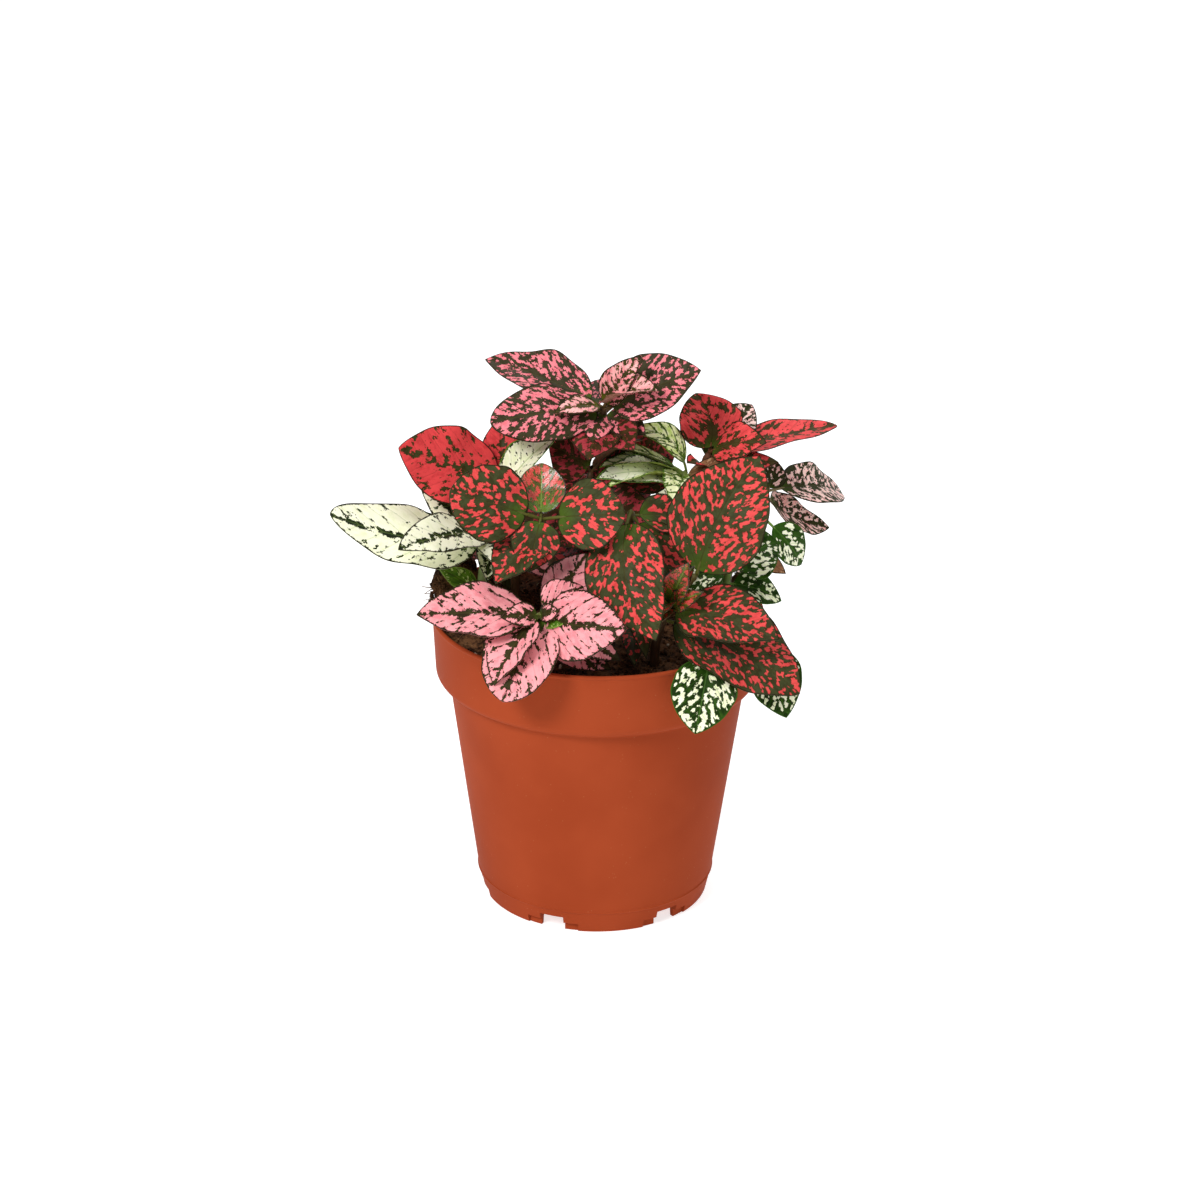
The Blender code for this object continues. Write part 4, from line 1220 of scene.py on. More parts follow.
class PackedNode:
    """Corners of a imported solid, to tell how far each of its leaves was bent clear of the others."""

    BEND_STEP = 4
    BEND_LIMIT = 36
    TURN_LIMIT = 16
    NEAR = 0.02
    SURE = 0.6
    ENOUGH = 0.3

    def __init__(self, item: bpy.types.Object) -> None:
        """Index the corners.

        Args:
            item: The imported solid.
        """
        corners = item.data.vertices
        self.tree = KDTree(len(corners))
        for corner in corners:
            self.tree.insert(corner.co / MM, corner.index)
        self.tree.balance()
        lifts = range(-self.BEND_LIMIT, self.BEND_LIMIT + 1, self.BEND_STEP)
        turns = range(-self.TURN_LIMIT, self.TURN_LIMIT + 1, self.BEND_STEP)
        pairs = itertools.product(lifts, turns)
        self.bends = sorted(pairs, key=lambda pair: (abs(pair[0]) + abs(pair[1]), pair))

    def match(self, shape: LeafShape) -> float:
        """Measure how much of a leaf's corners the solid has.

        Args:
            shape: The leaf's form.

        Returns:
            The share of its corners.
        """
        points = shape.packed_points()
        found = [self.tree.find(Vector(point))[2] < self.NEAR for point in points]
        return sum(found) / len(found)

    def place(self, base: Array, leaf: Leaf) -> LeafShape | None:
        """Find a leaf in the solid.

        Args:
            base: Where its petiole starts.
            leaf: The leaf as listed.

        Returns:
            Its form as packed, or none if the solid doesn't have it.
        """
        plain = LeafShape(base, leaf, np.array(leaf.tip), np.array(leaf.face))
        best, best_match = None, 0.0
        for lift, turn in self.bends:
            along = turn_about(np.array(leaf.tip) - base, plain.side, -lift)
            along = turn_about(along, plain.up, turn)
            shape = LeafShape(base, leaf, base + along, turn_about(plain.up, plain.side, -lift))
            share = self.match(shape)
            if share > best_match:
                best, best_match = shape, share
            if share > self.SURE:
                break
        return best if best_match > self.ENOUGH else None


class LeafMaker:
    """Adds the fine blade of a leaf, with its petiole and midrib, to a stem's pile.

    The blade's grid runs from base to tip and from edge to edge, denser near the edges. Its height is
    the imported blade's, with a rounded fold, cushions between the side veins and a fine wave near the
    edges. A blunt leaf has a heart-shaped base: its two halves reach back beside the petiole. Side veins
    leave the midrib aslant and curve towards the tip.
    """

    FOLD_ROUND = 0.14
    THICK_MIDDLE = 0.42
    THICK_EDGE = 0.2
    LEAST_HALF = 0.12
    VEIN_CURVE = 0.7
    CUSHION = 0.014
    FINE_WAVE = 0.016
    RAGGED = 0.02
    HEART = 0.13
    RIB_SIDES = 8

    def __init__(self, pile: Pile, seed: int) -> None:
        """Start on one stem.

        Args:
            pile: The stem's pile.
            seed: Seed of the leaves' small differences.
        """
        self.pile = pile
        self.draw = np.random.default_rng(seed)

    def add(self, shape: LeafShape, finish: int, stalk_finish: int) -> None:
        """Add one leaf.

        Args:
            shape: Its form.
            finish: Number of the blade's finish.
            stalk_finish: Number of the petiole's finish.
        """
        leaf = shape.leaf
        seed = float(self.draw.uniform(0.0, 10.0))
        rows = int(np.clip(leaf.width * 1.7, 14, 46))
        columns = int(np.clip(leaf.width * 0.9, 11, 25)) | 1
        self.add_blade(shape, rows, columns, seed, finish)
        self.add_rib(shape, rows, stalk_finish)

    def add_blade(self, shape: LeafShape, rows: int, columns: int, seed: float, finish: int) -> None:
        """Add the blade as a closed thin sheet.

        Args:
            shape: Its form.
            rows: Number of stations along it.
            columns: Number of places across it.
            seed: Number that sets its pattern apart.
            finish: Number of its finish.
        """
        leaf = shape.leaf
        bladed = 1 - leaf.petiole
        share = 0.5 - 0.5 * np.cos(np.pi * np.linspace(0.0, 1.0, rows))
        whole = leaf.petiole + bladed * share
        across = np.sin(np.pi / 2 * np.linspace(-1.0, 1.0, columns))
        size = np.abs(across)[None, :]
        phases = self.draw.uniform(0, 2 * np.pi, 4)
        half = shape.half(share, self.LEAST_HALF)[:, None]
        sides = phases[:2][(across > 0).astype(int)][None, :]
        turns = np.sin(9 * share[:, None] + sides) + 0.6 * np.sin(21 * share[:, None] + 2 * sides)
        ragged = self.RAGGED * turns
        reach = half * (1 + ragged * size ** 2)
        run = share[:, None] * shape.length * bladed
        out = size * half
        lean = out * VEIN_LEAN + self.VEIN_CURVE * out ** 2 / leaf.width
        start = run - lean
        spacing = shape.length * bladed / (3.5 + leaf.width / 10)
        phase = start / spacing
        hump = (4 * whole * (1 - whole))[:, None]
        fold = np.sqrt(size ** 2 + self.FOLD_ROUND ** 2) - self.FOLD_ROUND
        fold = fold / (np.sqrt(1 + self.FOLD_ROUND ** 2) - self.FOLD_ROUND)
        height = fold * (leaf.fold * half + shape.wave(whole)[:, None])
        inner = smooth(out, 0.2, 0.3 * leaf.width / 2) * (1 - smooth(size, 0.7, 1.0))
        height = height + self.CUSHION * leaf.width * np.sin(np.pi * phase) ** 2 * inner
        flutter = np.sin(15 * share[:, None] + phases[2:][(across > 0).astype(int)][None, :])
        height = height + self.FINE_WAVE * leaf.width * flutter * size ** 3 * hump
        middle = shape.middle(whole)[:, None]
        back = self.HEART * leaf.blunt * leaf.width * size * (1 - share[:, None]) ** 5
        sheet = middle + (across[None, :] * reach)[..., None] * shape.side
        sheet = sheet + height[..., None] * shape.up - back[..., None] * shape.along
        thick = self.THICK_MIDDLE + (self.THICK_EDGE - self.THICK_MIDDLE) * size ** 2
        offset = (thick / 2)[..., None] * shape.up
        loops = np.concatenate([sheet + offset, (sheet - offset)[:, ::-1]], axis=1)
        flat = np.broadcast_arrays(share[:, None] + 0 * size, across[None, :] + 0 * run)
        marks = {
            "blade": [*flat, TOP + 0 * run + 0 * size],
            "run": [start / VEIN_SLOPE, start * VEIN_LEAN / VEIN_SLOPE + out * VEIN_SLOPE, seed],
            "rib": [np.sign(across)[None, :] * out, (1 - size) * half, phase],
        }
        doubled = {}
        for name, values in marks.items():
            upper = np.stack(np.broadcast_arrays(*values), axis=-1)
            lower = upper[:, ::-1].copy()
            if name == "blade":
                lower[..., 2] = UNDERSIDE
            doubled[name] = np.concatenate([upper, lower], axis=1)
        self.pile.add_loops(loops, finish, doubled)

    def add_rib(self, shape: LeafShape, rows: int, finish: int) -> None:
        """Add the petiole, which runs on under the blade as its midrib.

        Args:
            shape: The leaf's form.
            rows: Number of places along it.
            finish: Number of its finish.
        """
        share = np.linspace(0.0, 0.93, rows)
        petiole = shape.leaf.petiole
        thick = 0.36 + 0.010 * shape.leaf.width
        under = smooth(share, petiole * 0.7, petiole + 0.1)
        radii = thick * (1 - 0.35 * under) * (1 - 0.8 * smooth(share, petiole, 0.95))
        path = shape.middle(share) - (under * radii * 0.8)[:, None] * shape.up
        loops = tube_loops(path, radii, self.RIB_SIDES)
        blade = np.stack(np.broadcast_arrays(1.0 - 0.5 * share[:, None] + np.zeros((1, self.RIB_SIDES)),
                                             0.0, 0.0), axis=-1)
        self.pile.add_loops(loops, finish, {"blade": blade})


@dataclass(frozen=True)
class StemPath:
    """The middle line of a stem, as in the part's source: a quadratic curve above a straight root.

    Attributes:
        root: Place in the soil, seen from above.
        top: Place of the topmost pair of leaves.
    """

    root: tuple[float, float]
    top: Triple
    knee_share: float = 0.55

    def at(self, share: Array) -> Array:
        """Find places on the stem.

        Args:
            share: 0 at the soil and 1 at the topmost leaves.

        Returns:
            The places.
        """
        ground = float(soil_height(np.array(self.root[0]), np.array(self.root[1])))
        start = np.array([*self.root, ground + 1.0])
        knee = np.array([*self.root, ground + self.knee_share * (self.top[2] - ground)])
        share = np.asarray(share, float)[..., None]
        return start * (1 - share) ** 2 + knee * 2 * (1 - share) * share + np.array(self.top) * share ** 2


class Foliage:
    """Makes the fine piece of one leafy stem."""

    ROOT_RADIUS = 1.8
    TOP_RADIUS = 1.2
    SIDES = 14
    ROWS = 60
    JOINT_SWELL = 0.16
    JOINT_WIDTH = 0.014
    STALK_RADIUS = 0.8
    STALK_RISE = 0.12

    def __init__(self, stem: Stem, packed: bpy.types.Object, paints: Paints) -> None:
        """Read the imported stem.

        Args:
            stem: The stem as listed.
            packed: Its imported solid.
            paints: Where finishes come from.
        """
        self.paints = paints
        self.stem = stem
        self.path = StemPath(stem.root, stem.top)
        self.packed = PackedNode(packed)
        self.pile = Pile()
        self.looks: list[Look] = []

    def finish_of(self, look: Look) -> int:
        """Number a leaf finish within the piece; number 0 is the stalks'.

        Args:
            look: The finish.

        Returns:
            Its number.
        """
        if look not in self.looks:
            self.looks.append(look)
        return self.looks.index(look) + 1

    def add_stem(self) -> None:
        """Add the stem, a little swollen where leaves leave it."""
        share = np.linspace(0.0, 1.0, self.ROWS)
        above = self.path.at(share)
        below = above[0] - np.array([0.0, 0.0, 4.0])
        radii = self.ROOT_RADIUS + (self.TOP_RADIUS - self.ROOT_RADIUS) * share
        for at in {leaf.at for leaf in self.stem.leaves}:
            radii = radii * (1 + self.JOINT_SWELL * np.exp(-(((share - at) / self.JOINT_WIDTH) ** 2)))
        radii[-2:] *= np.array([0.85, 0.5])
        path = np.concatenate([below[None], above])
        loops = tube_loops(path, np.append(radii[0], radii), self.SIDES)
        marks = np.zeros(loops.shape)
        marks[..., 0] = np.append(0.0, share)[:, None] * 0.5
        self.pile.add_loops(loops, 0, {"blade": marks})

    def add_stalk(self, start: Array, end: Array) -> None:
        """Add the long stalk that leads to a leaf's own base.

        Args:
            start: Its place on the stem.
            end: Where the leaf starts.
        """
        share = np.linspace(0.0, 1.0, 16)[:, None]
        lift = np.array([0.0, 0.0, self.STALK_RISE * np.linalg.norm(end - start)])
        middle = (start + end) / 2 + lift
        path = start * (1 - share) ** 2 + middle * 2 * share * (1 - share) + end * share ** 2
        self.pile.add_loops(tube_loops(path, np.full(len(path), self.STALK_RADIUS), 10), 0)

    def make(self) -> bpy.types.Object:
        """Make the piece.

        Returns:
            The object.
        """
        stem = self.stem
        maker = LeafMaker(self.pile, sum(map(ord, stem.node)))
        self.add_stem()
        for leaf in stem.leaves:
            start = self.path.at(leaf.at)
            base = start if leaf.base is None else np.array(leaf.base)
            shape = self.packed.place(base, leaf)
            if shape is None:
                log.info("%s has no leaf with its tip at %s", stem.node, leaf.tip)
                continue
            if leaf.base is not None:
                self.add_stalk(start, base)
            maker.add(shape, self.finish_of(leaf.look or stem.look), 0)
        for leaf in stem.shoots:
            shape = LeafShape(self.path.at(leaf.at), leaf, np.array(leaf.tip), np.array(leaf.face))
            maker.add(shape, self.finish_of(leaf.look or stem.look), 0)
        finishes = [STALK_FINISHES[stem.look], *(LEAF_FINISHES[look] for look in self.looks)]
        materials = [self.paints.get(finish) for finish in finishes]
        return self.pile.make(stem.node.replace("leafy_stem_", "") + "_foliage", materials)


class Paints:
    """Makes each finish once, when it is first asked for."""

    def __init__(self) -> None:
        """Start with none."""
        self.made: dict[object, bpy.types.Material] = {}

    def get(self, finish: LeafFinish | StalkFinish | PeatFinish | PotFinish) -> bpy.types.Material:
        """Find or make a finish's material.

        Args:
            finish: The finish.

        Returns:
            Its material.
        """
        if finish not in self.made:
            self.made[finish] = finish.make()
        return self.made[finish]


PAIR_SPACING = 0.24
PAIR_LENGTHS = (0.62, 1.0, 1.0, 0.85)
PAIR_PITCHES = (38, 12, -4, -8)


def back_leaves(stem: BackStem) -> tuple[Leaf, ...]:
    """Work out the crossed pairs of leaves of a stem on the far side, as the part's source does.

    Args:
        stem: The stem.

    Returns:
        Its leaves, topmost first.
    """
    draw = random.Random(stem.node)
    path = StemPath(stem.root, stem.top)
    leaves = []
    for level in range(stem.levels):
        share = 1.0 - PAIR_SPACING * level
        length = stem.reach * PAIR_LENGTHS[level]
        for half_turn in (0, 180):
            heading = math.radians(stem.heading + 90 * level + half_turn + draw.uniform(-14, 14))
            pitch = math.radians(PAIR_PITCHES[level] + draw.uniform(-6, 6))
            reach = length * draw.uniform(0.9, 1.08)
            outward = np.array([math.cos(heading), math.sin(heading), 0.0])
            upward = np.array([0.0, 0.0, 1.0])
            tip = path.at(share) + (outward * math.cos(pitch) + upward * math.sin(pitch)) * reach
            face = outward * -math.sin(pitch) + upward * math.cos(pitch)
            width = reach * draw.uniform(0.58, 0.7)
            leaves.append(Leaf(share, tuple(tip), width, tuple(face), blunt=draw.uniform(0.1, 0.5)))
    return tuple(leaves)


class Soil:
    """Makes the peat: its body, and loose crumbs, fibres and pale bits on it."""

    RINGS = 120
    SIDES = 256
    CRUMBS = 1500
    CLODS = 120
    FIBRES = 170
    PALE_BITS = 60
    HEAP_CRUMBS = 520
    HEAP_FIBRES = 170
    DARK = PeatFinish("dark_peat", (0.021, 0.009, 0.0045), (0.150, 0.068, 0.030))
    FIBRE = PeatFinish("peat_fibre", (0.080, 0.038, 0.016), (0.26, 0.14, 0.065))
    PALE = PeatFinish("pale_bits", (0.30, 0.24, 0.17), (0.62, 0.55, 0.45))

    def __init__(self, paints: Paints) -> None:
        """Set up the lumps.

        Args:
            paints: Where finishes come from.
        """
        self.paints = paints
        self.lumps = Lumps(11)
        self.draw = np.random.default_rng(5)

    def height(self, x: Array, y: Array) -> Array:
        """Height of the lumpy surface.

        Args:
            x: Places along X.
            y: Places along Y.

        Returns:
            The heights.
        """
        places = np.stack([x, y, 0 * x], axis=-1)
        heaped = smooth(soil_height(x, y), POT_HEIGHT - 1.0, POT_HEIGHT + 4.0)
        lumps = sum(size * 0.11 * self.lumps.at(places, size) for size in (9.0, 4.5, 2.2, 1.1))
        lumps = lumps * (1.0 + 1.1 * heaped)
        return soil_height(x, y) + lumps

    def body(self) -> bpy.types.Object:
        """Make the body of peat.

        Returns:
            The piece.
        """
        angles = 2 * np.pi * np.arange(self.SIDES) / self.SIDES
        ring = np.stack([np.cos(angles), np.sin(angles)], axis=-1)
        radii = SOIL_EDGE_RADIUS * np.linspace(0.01, 1.0, self.RINGS)
        x, y = np.moveaxis(radii[:, None, None] * ring, -1, 0)
        z = self.height(x, y)
        heaped = np.clip((soil_height(*(SOIL_EDGE_RADIUS * ring).T) - POT_HEIGHT) / HEAP_SPAN, 0.0, 1.0)
        lean = 1 + MOUND_OVERHANG * heaped / SOIL_EDGE_RADIUS * smooth(radii, 44.0, SOIL_EDGE_RADIUS)[:, None]
        top = np.stack([x * lean, y * lean, z], axis=-1)
        low = np.minimum(z[-1] - 2.5, POT_HEIGHT + 0.3)
        lower = [(57.0, 88.0), (52.2, 84.8), (41.4, 5.0), (1.0, 5.0)]
        rows = [np.stack([*(SOIL_EDGE_RADIUS * ring).T, low], axis=-1)]
        rows += [np.column_stack([radius * ring, np.full(self.SIDES, level)]) for radius, level in lower]
        pile = Pile()
        pile.add_loops(np.concatenate([top, np.array(rows)]))
        return pile.make("peat_body", [self.paints.get(self.DARK)])

    def scatter(self, count: int, low: float = 0.0, high: float = 57.0) -> Array:
        """Scatter places over the surface.

        Args:
            count: Number of places.
            low: Smallest distance from the middle.
            high: Largest distance from the middle.

        Returns:
            The places.
        """
        radius = np.sqrt(self.draw.uniform(low ** 2, high ** 2, count))
        angle = self.draw.uniform(0, 2 * np.pi, count)
        x, y = radius * np.cos(angle), radius * np.sin(angle)
        return np.stack([x, y, self.height(x, y)], axis=-1)

    def lump(self, pile: Pile, middle: Array, size: float) -> None:
        """Add one irregular crumb: a ball of 20 faces with each corner moved and the whole flattened.

        Args:
            pile: Pile to add to.
            middle: Its middle.
            size: Its radius.
        """
        corners = self.ball[0] * self.draw.uniform(0.7, 1.25, (12, 1)) * self.draw.uniform(0.55, 1.2, 3)
        pile.add(middle + corners * size, self.ball[1])

    def crumbs(self) -> bpy.types.Object:
        """Make the loose crumbs and clods.

        Returns:
            The piece.
        """
        pile = Pile()
        for place, size in zip(self.scatter(self.CRUMBS), self.draw.lognormal(-0.55, 0.38, self.CRUMBS)):
            self.lump(pile, place + np.array([0, 0, 0.2 * size]), size)
        for place, size in zip(self.scatter(self.CLODS), self.draw.uniform(1.2, 2.2, self.CLODS)):
            self.lump(pile, place, size)
        for angle in self.draw.uniform(math.radians(132), math.radians(205), self.HEAP_CRUMBS):
            outward = np.array([math.cos(angle), math.sin(angle)])
            edge = outward * SOIL_EDGE_RADIUS
            crest = float(self.height(*edge))
            if crest < POT_HEIGHT:
                continue
            place = outward * (SOIL_EDGE_RADIUS + self.draw.uniform(-4.0, 2.6))
            level = self.draw.uniform(POT_HEIGHT + 0.8, max(POT_HEIGHT + 1.0, crest + 0.5))
            inside = float(self.height(*place))
            low = level if np.hypot(*place) > SOIL_EDGE_RADIUS + 1.0 else inside
            self.lump(pile, np.array([*place, low]), float(self.draw.uniform(0.5, 1.5)))
        return pile.make("peat_crumbs", [self.paints.get(self.DARK)])

    def fibres(self) -> bpy.types.Object:
        """Make the fibres that lie on the peat and stick out of it.

        Returns:
            The piece.
        """
        pile = Pile()
        for start in self.scatter(self.FIBRES, 20.0, 58.0):
            heading = self.draw.uniform(0, 2 * np.pi)
            length = self.draw.uniform(3.0, 9.0)
            share = np.linspace(0.0, 1.0, 7)
            bend = heading + self.draw.uniform(-1.6, 1.6) * share
            step = length / 6
            x = start[0] + np.cumsum(np.cos(bend)) * step
            y = start[1] + np.cumsum(np.sin(bend)) * step
            held = np.minimum(1.0, 57.5 / np.hypot(x, y))
            rise = self.draw.uniform(-0.6, 2.2) * share ** 2
            z = self.height(x * held, y * held) + 0.25 + rise
            path = np.stack([x * held, y * held, z], axis=-1)
            radii = self.draw.uniform(0.12, 0.26) * (1 - 0.6 * share)
            pile.add_loops(tube_loops(path, radii, 5))
        for angle in self.draw.uniform(math.radians(135), math.radians(200), self.HEAP_FIBRES):
            outward = np.array([math.cos(angle), math.sin(angle), 0.0])
            start = outward * (SOIL_EDGE_RADIUS + self.draw.uniform(-3.0, 1.5))
            crest = float(self.height(*start[:2]))
            if crest < POT_HEIGHT + 1.5:
                continue
            start[2] = self.draw.uniform(POT_HEIGHT + 0.8, crest)
            share = np.linspace(0.0, 1.0, 6)[:, None]
            aim = outward + self.draw.uniform(-0.9, 0.9, 3) + np.array([0.0, 0.0, 0.3])
            curl = self.draw.uniform(-1.2, 1.2, 3)
            path = start + unit(aim) * share * self.draw.uniform(1.8, 4.4) + curl * share ** 2
            pile.add_loops(tube_loops(path, self.draw.uniform(0.14, 0.3) * (1 - 0.5 * share[:, 0]), 5))
        return pile.make("peat_fibres", [self.paints.get(self.FIBRE)])

    def pale_bits(self) -> bpy.types.Object:
        """Make the pale bits in the peat.

        Returns:
            The piece.
        """
        pile = Pile()
        for place, size in zip(self.scatter(self.PALE_BITS), self.draw.uniform(0.4, 1.0, self.PALE_BITS)):
            self.lump(pile, place + np.array([0, 0, 0.3]), size)
        return pile.make("peat_pale_bits", [self.paints.get(self.PALE)])

    def make(self) -> None:
        """Make all of it."""
        ball = bmesh.new()
        bmesh.ops.create_icosphere(ball, subdivisions=1, radius=1.0)
        corners = np.array([corner.co for corner in ball.verts])
        self.ball = corners, [[corner.index for corner in face.verts] for face in ball.faces]
        ball.free()
        settle(self.body(), "peat", "soil")
        for item in (self.crumbs(), self.fibres(), self.pale_bits()):
            settle(item, "peat")


class Pot:
    """Makes the turned pot with its notches and drain holes."""

    SIDES = 192
    LIP_HEIGHT = 1.0
    LIP_DEPTH = 0.5
    EDGE_ROUND = 0.4
    STEP_ROUND = 1.0
    LINE_HEIGHT = 1.0
    LINE_DEPTH = 0.5
    FOOT_ROUND = 0.3
    FOOT_RING_WIDTH = 2.4
    NOTCHES = 6
    FIRST_NOTCH = math.radians(-21.5)
    NOTCH_WIDTH = 9.0
    NOTCH_TOP_Z = 5.6
    RECESS_HALF = math.radians(13.4)
    RECESS_TOP_Z = 3.2
    RECESS_DEPTH = 0.9
    DRAIN_RADIUS = 4.0
    DRAIN_CIRCLE = 29.0
    CORNER_STEPS = 5
    SHARP = math.radians(40)

    def __init__(self, paints: Paints) -> None:
        """Take the finishes.

        Args:
            paints: Where finishes come from.
        """
        self.paints = paints

    def corners(self) -> list[tuple[float, float, float]]:
        """List the corners of the half section, down the outside and up the inside.

        Returns:
            Radius, height and the length of the rounding of each.
        """
        floor_top = FLOOR_Z + FLOOR_THICKNESS
        step, edge = self.STEP_ROUND, self.EDGE_ROUND
        return [
            (RIM_RADIUS - edge, POT_HEIGHT, 0.4),
            (RIM_RADIUS, POT_HEIGHT - edge, 0.4),
            (RIM_RADIUS, POT_HEIGHT - self.LIP_HEIGHT, 0.3),
            (RIM_RADIUS - self.LIP_DEPTH, POT_HEIGHT - self.LIP_HEIGHT - self.LIP_DEPTH, 0.4),
            (COLLAR_FOOT_RADIUS, COLLAR_FOOT_Z + step, 1.0),
            (COLLAR_FOOT_RADIUS - step, COLLAR_FOOT_Z - 0.6 * step, 0.8),
            (BODY_TOP_RADIUS + 0.6 * step, BODY_TOP_Z + 0.8 * step, 0.6),
            (BODY_TOP_RADIUS, BODY_TOP_Z, 0.6),
            (BODY_FOOT_RADIUS + 0.1, BODY_FOOT_Z + self.LINE_HEIGHT, 0.3),
            (BODY_FOOT_RADIUS + self.LINE_DEPTH, BODY_FOOT_Z + self.LINE_HEIGHT / 2, 0.4),
            (BODY_FOOT_RADIUS - 0.1, BODY_FOOT_Z, 0.3),
            (FOOT_RADIUS, self.FOOT_ROUND, 0.3),
            (FOOT_RADIUS - self.FOOT_ROUND, 0.0, 0.2),
            (FOOT_RADIUS - self.FOOT_RING_WIDTH, 0.0, 0.2),
            (FOOT_RADIUS - self.FOOT_RING_WIDTH - self.FOOT_ROUND, FLOOR_Z, 0.3),
            (0.5, FLOOR_Z, 0.0),
            (0.5, floor_top, 0.0),
            (BODY_FOOT_RADIUS - WALL - edge, floor_top, 1.0),
            (BODY_TOP_RADIUS - WALL, BODY_TOP_Z + 1.2 * step, 0.6),
            (COLLAR_FOOT_RADIUS - WALL, COLLAR_FOOT_Z + 1.4 * step, 0.8),
            (RIM_RADIUS - WALL, POT_HEIGHT, 0.5),
        ]

    def section(self) -> Array:
        """Round the corners with quadratic curves.

        Returns:
            Radius and height of each point of the finer half section.
        """
        corners = np.array(self.corners())
        places, rounding = corners[:, :2], corners[:, 2:]
        before, after = np.roll(places, 1, axis=0), np.roll(places, -1, axis=0)
        reach_back = np.minimum(rounding, 0.45 * np.linalg.norm(before - places, axis=1, keepdims=True))
        reach_on = np.minimum(rounding, 0.45 * np.linalg.norm(after - places, axis=1, keepdims=True))
        first = places + unit(before - places) * reach_back
        last = places + unit(after - places) * reach_on
        share = np.linspace(0.0, 1.0, self.CORNER_STEPS)[:, None, None]
        curves = first * (1 - share) ** 2 + places * 2 * share * (1 - share) + last * share ** 2
        return np.swapaxes(curves, 0, 1).reshape(-1, 2)

    def cutters(self) -> tuple[bpy.types.Object, bpy.types.Object]:
        """Make the blocks and rods that cut the notches and the drain holes, and the wide recesses.

        A recess is a shallow step in the outside of the foot ring, on each side of a notch.

        Returns:
            One object with the blocks and rods, and one with the curved blocks of the recesses.
        """
        pile, recesses = Pile(), Pile()
        sweep = np.linspace(-self.RECESS_HALF, self.RECESS_HALF, 9)
        arc = np.stack([np.sin(sweep), -np.cos(sweep)], axis=-1)
        sector = np.concatenate([(FOOT_RADIUS - self.RECESS_DEPTH) * arc, (FOOT_RADIUS + 3.0) * arc[::-1]])
        inner, outer = FOOT_RADIUS - self.FOOT_RING_WIDTH - 1.2, FOOT_RADIUS + 4.0
        half, top = self.NOTCH_WIDTH / 2, self.NOTCH_TOP_Z
        turn = np.linspace(0.0, 2 * np.pi, 32, endpoint=False)
        rod = self.DRAIN_RADIUS * np.stack([np.cos(turn), np.sin(turn)], axis=-1)
        for number in range(self.NOTCHES):
            angle = self.FIRST_NOTCH + 2 * math.pi * number / self.NOTCHES
            spin = np.array(Matrix.Rotation(angle, 3, "Z"))
            block = [[(-half, -inner, z), (half, -inner, z), (half, -outer, z), (-half, -outer, z)]
                     for z in (-1.0, top)]
            pile.add_loops(np.array(block) @ spin.T)
            middle = np.array([0.0, -self.DRAIN_CIRCLE, 0.0]) @ spin.T
            rods = [np.column_stack([rod + middle[:2], np.full(len(rod), z)]) for z in (1.0, FLOOR_Z + 4.0)]
            pile.add_loops(np.array(rods))
            steps = [np.column_stack([sector, np.full(len(sector), z)]) for z in (-1.0, self.RECESS_TOP_Z)]
            recesses.add_loops(np.array(steps) @ spin.T)
        return pile.make("notch_cutters", []), recesses.make("recess_cutters", [])

    def make(self) -> None:
        """Make the pot."""
        section = self.section()
        angles = 2 * np.pi * np.arange(self.SIDES) / self.SIDES
        x = section[:, None, 0] * np.cos(angles)
        y = section[:, None, 0] * np.sin(angles)
        points = np.stack([x, y, section[:, None, 1] + 0 * x], axis=-1)
        index = np.arange(points.size // 3).reshape(points.shape[:2])
        onward, below = np.roll(index, -1, axis=1), np.roll(index, -1, axis=0)
        corner = np.roll(below, -1, axis=1)
        faces = np.stack([index, below, corner, onward], axis=-1).reshape(-1, 4).tolist()
        pile = Pile()
        pile.add(points.reshape(-1, 3), faces)
        item = pile.make("nursery_pot", [self.paints.get(PotFinish())])
        cutters = self.cutters()
        for cutter in cutters:
            cut = item.modifiers.new(cutter.name, "BOOLEAN")
            cut.operation, cut.solver, cut.object = "DIFFERENCE", "EXACT", cutter
        shaped = bpy.data.meshes.new_from_object(item.evaluated_get(bpy.context.evaluated_depsgraph_get()))
        item.modifiers.clear()
        for cutter in cutters:
            bpy.data.objects.remove(cutter)
        item.data = shaped
        shaped.set_sharp_from_angle(angle=self.SHARP)
        settle(item, "pot_plastic", "pot")


@dataclass(frozen=True)
class Lamp:
    """A soft lamp that looks at the plant.

    Attributes:
        name: Its name.
        place: Its place in metres.
        size: Side of its square in metres.
        power: Its power in watts.
    """

    name: str
    place: Triple
    size: float
    power: float


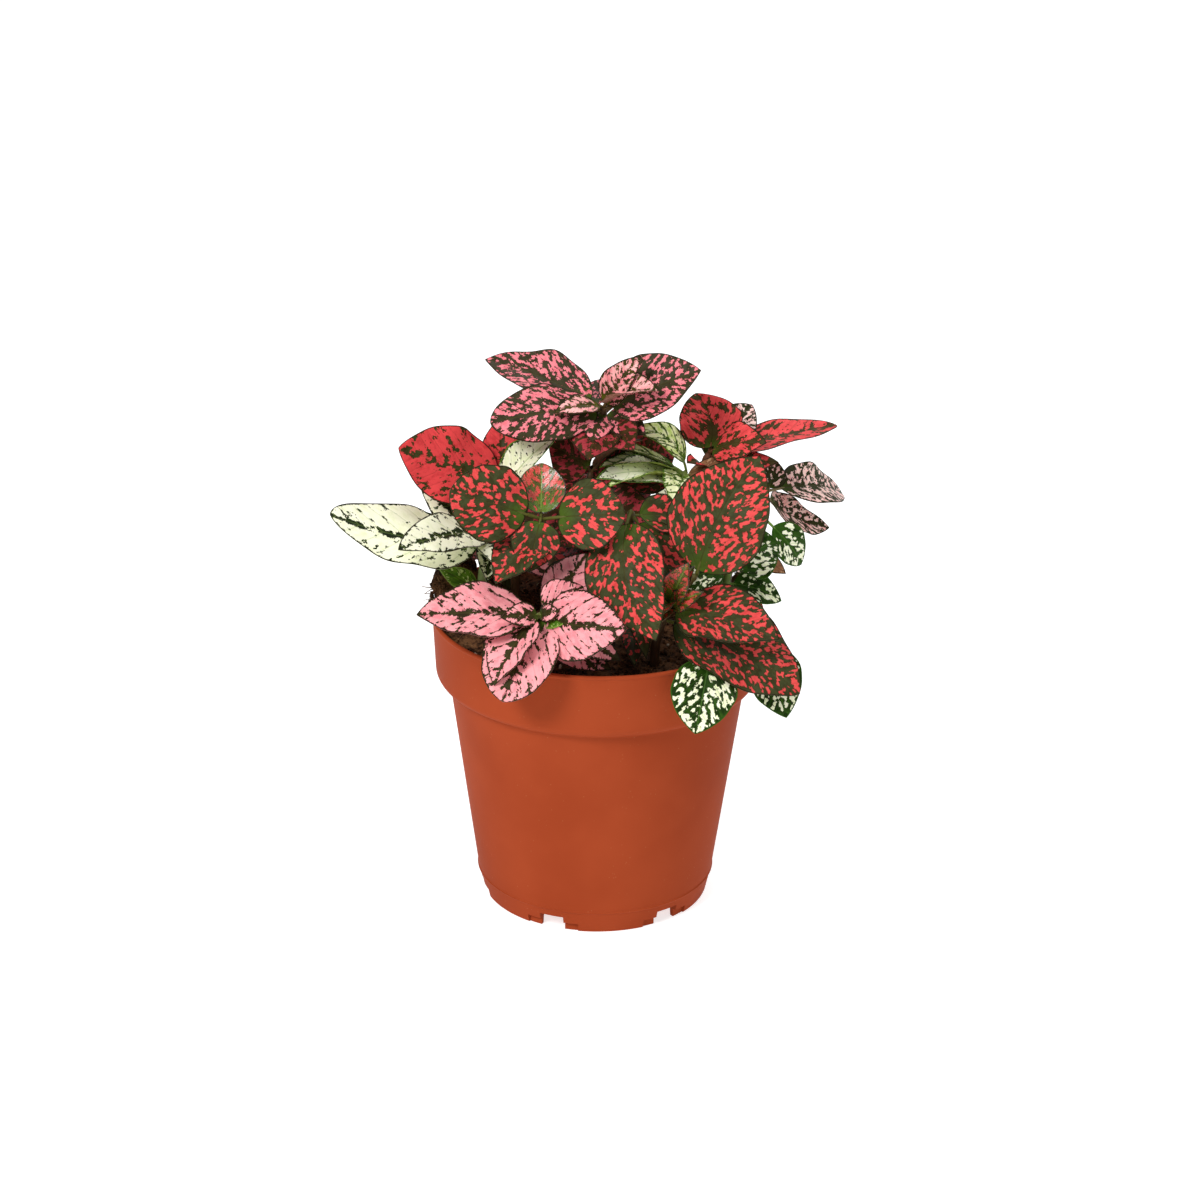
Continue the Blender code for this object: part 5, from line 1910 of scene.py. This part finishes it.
class Studio:
    """The camera, the light and the pale surroundings."""

    CAMERA_PLACE = (0.0007, -1.061, 0.5565)
    CAMERA_TILT = math.radians(90 - 22.7)
    CAMERA_ROLL = math.radians(0.67)
    LENS = 96.0
    AIM = Vector((0.0, 0.0, 0.11))
    WORLD = 0.31
    FLOOR_GLOW = 0.72
    FLOOR_HALF = 6.0
    LAMPS = (
        Lamp("key", (-0.8, -1.1, 1.25), 0.5, 22.0),
        Lamp("fill", (1.1, -1.2, 0.6), 0.9, 1.4),
        Lamp("top", (0.35, -0.15, 1.5), 0.7, 8.0),
        Lamp("back", (0.2, 1.2, 1.2), 0.9, 5.0),
    )

    def floor(self) -> None:
        """Make the white floor."""
        bench = Bench("white_floor")
        white = (1.0, 1.0, 1.0, 1.0)
        material = bench.finish((0.6, 0.6, 0.6), 0.9, Emission_Color=white, Emission_Strength=self.FLOOR_GLOW)
        half = self.FLOOR_HALF
        mesh = bpy.data.meshes.new("floor")
        mesh.from_pydata([(-half, -half, 0), (half, -half, 0), (half, half, 0), (-half, half, 0)], [], [(0, 1, 2, 3)])
        mesh.materials.append(material)
        item = bpy.data.objects.new("floor", mesh)
        bpy.context.scene.collection.objects.link(item)
        item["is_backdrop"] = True

    def light(self) -> None:
        """Make the world's even light and the lamps."""
        world = bpy.data.worlds.new("studio")
        bpy.context.scene.world = world
        world.use_nodes = True
        background = world.node_tree.nodes["Background"]
        background.inputs["Color"].default_value = (1.0, 1.0, 1.0, 1.0)
        background.inputs["Strength"].default_value = self.WORLD
        for lamp in self.LAMPS:
            light = bpy.data.lights.new(lamp.name, "AREA")
            light.size, light.energy = lamp.size, lamp.power
            item = bpy.data.objects.new(lamp.name, light)
            item.location = lamp.place
            item.rotation_euler = (self.AIM - Vector(lamp.place)).to_track_quat("-Z", "Y").to_euler()
            bpy.context.scene.collection.objects.link(item)
            item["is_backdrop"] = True

    def camera(self) -> None:
        """Place the camera that took the photograph."""
        lens = bpy.data.cameras.new("camera")
        lens.sensor_width, lens.lens = 36.0, self.LENS
        item = bpy.data.objects.new("camera", lens)
        tilt = Euler((self.CAMERA_TILT, 0.0, 0.0)).to_matrix()
        item.rotation_euler = (tilt @ Matrix.Rotation(self.CAMERA_ROLL, 3, "Z")).to_euler()
        item.location = self.CAMERA_PLACE
        bpy.context.scene.collection.objects.link(item)
        bpy.context.scene.camera = item
        item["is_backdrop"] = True

    def make(self) -> None:
        """Make all of it."""
        self.floor()
        self.light()
        self.camera()
        bpy.context.scene.view_settings.view_transform = "Standard"


def corners(box: tuple[Vector, Vector]) -> list[list[float]]:
    """Turn the two corners of a box into plain lists."""
    return [list(corner) for corner in box]


def main() -> None:
    """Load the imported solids, put the fine pieces in their places and light them."""
    logging.basicConfig(level=logging.INFO, format="%(message)s")
    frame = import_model()
    sizes = {"cad": corners(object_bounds())}
    slots = {part["node"]: part["material_slot"] for part in frame["record"]["subparts"]}
    paints = Paints()
    back = (Stem(stem.node, stem.root, stem.top, stem.look, back_leaves(stem)) for stem in BACK_STEMS)
    for stem in (*FRONT_STEMS, *back):
        foliage = Foliage(stem, frame["nodes"][stem.node], paints)
        settle(foliage.make(), slots[stem.node], stem.node)
    Soil(paints).make()
    Pot(paints).make()
    Studio().make()
    sizes["visual"] = corners(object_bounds())


if __name__ == "__main__":
    main()
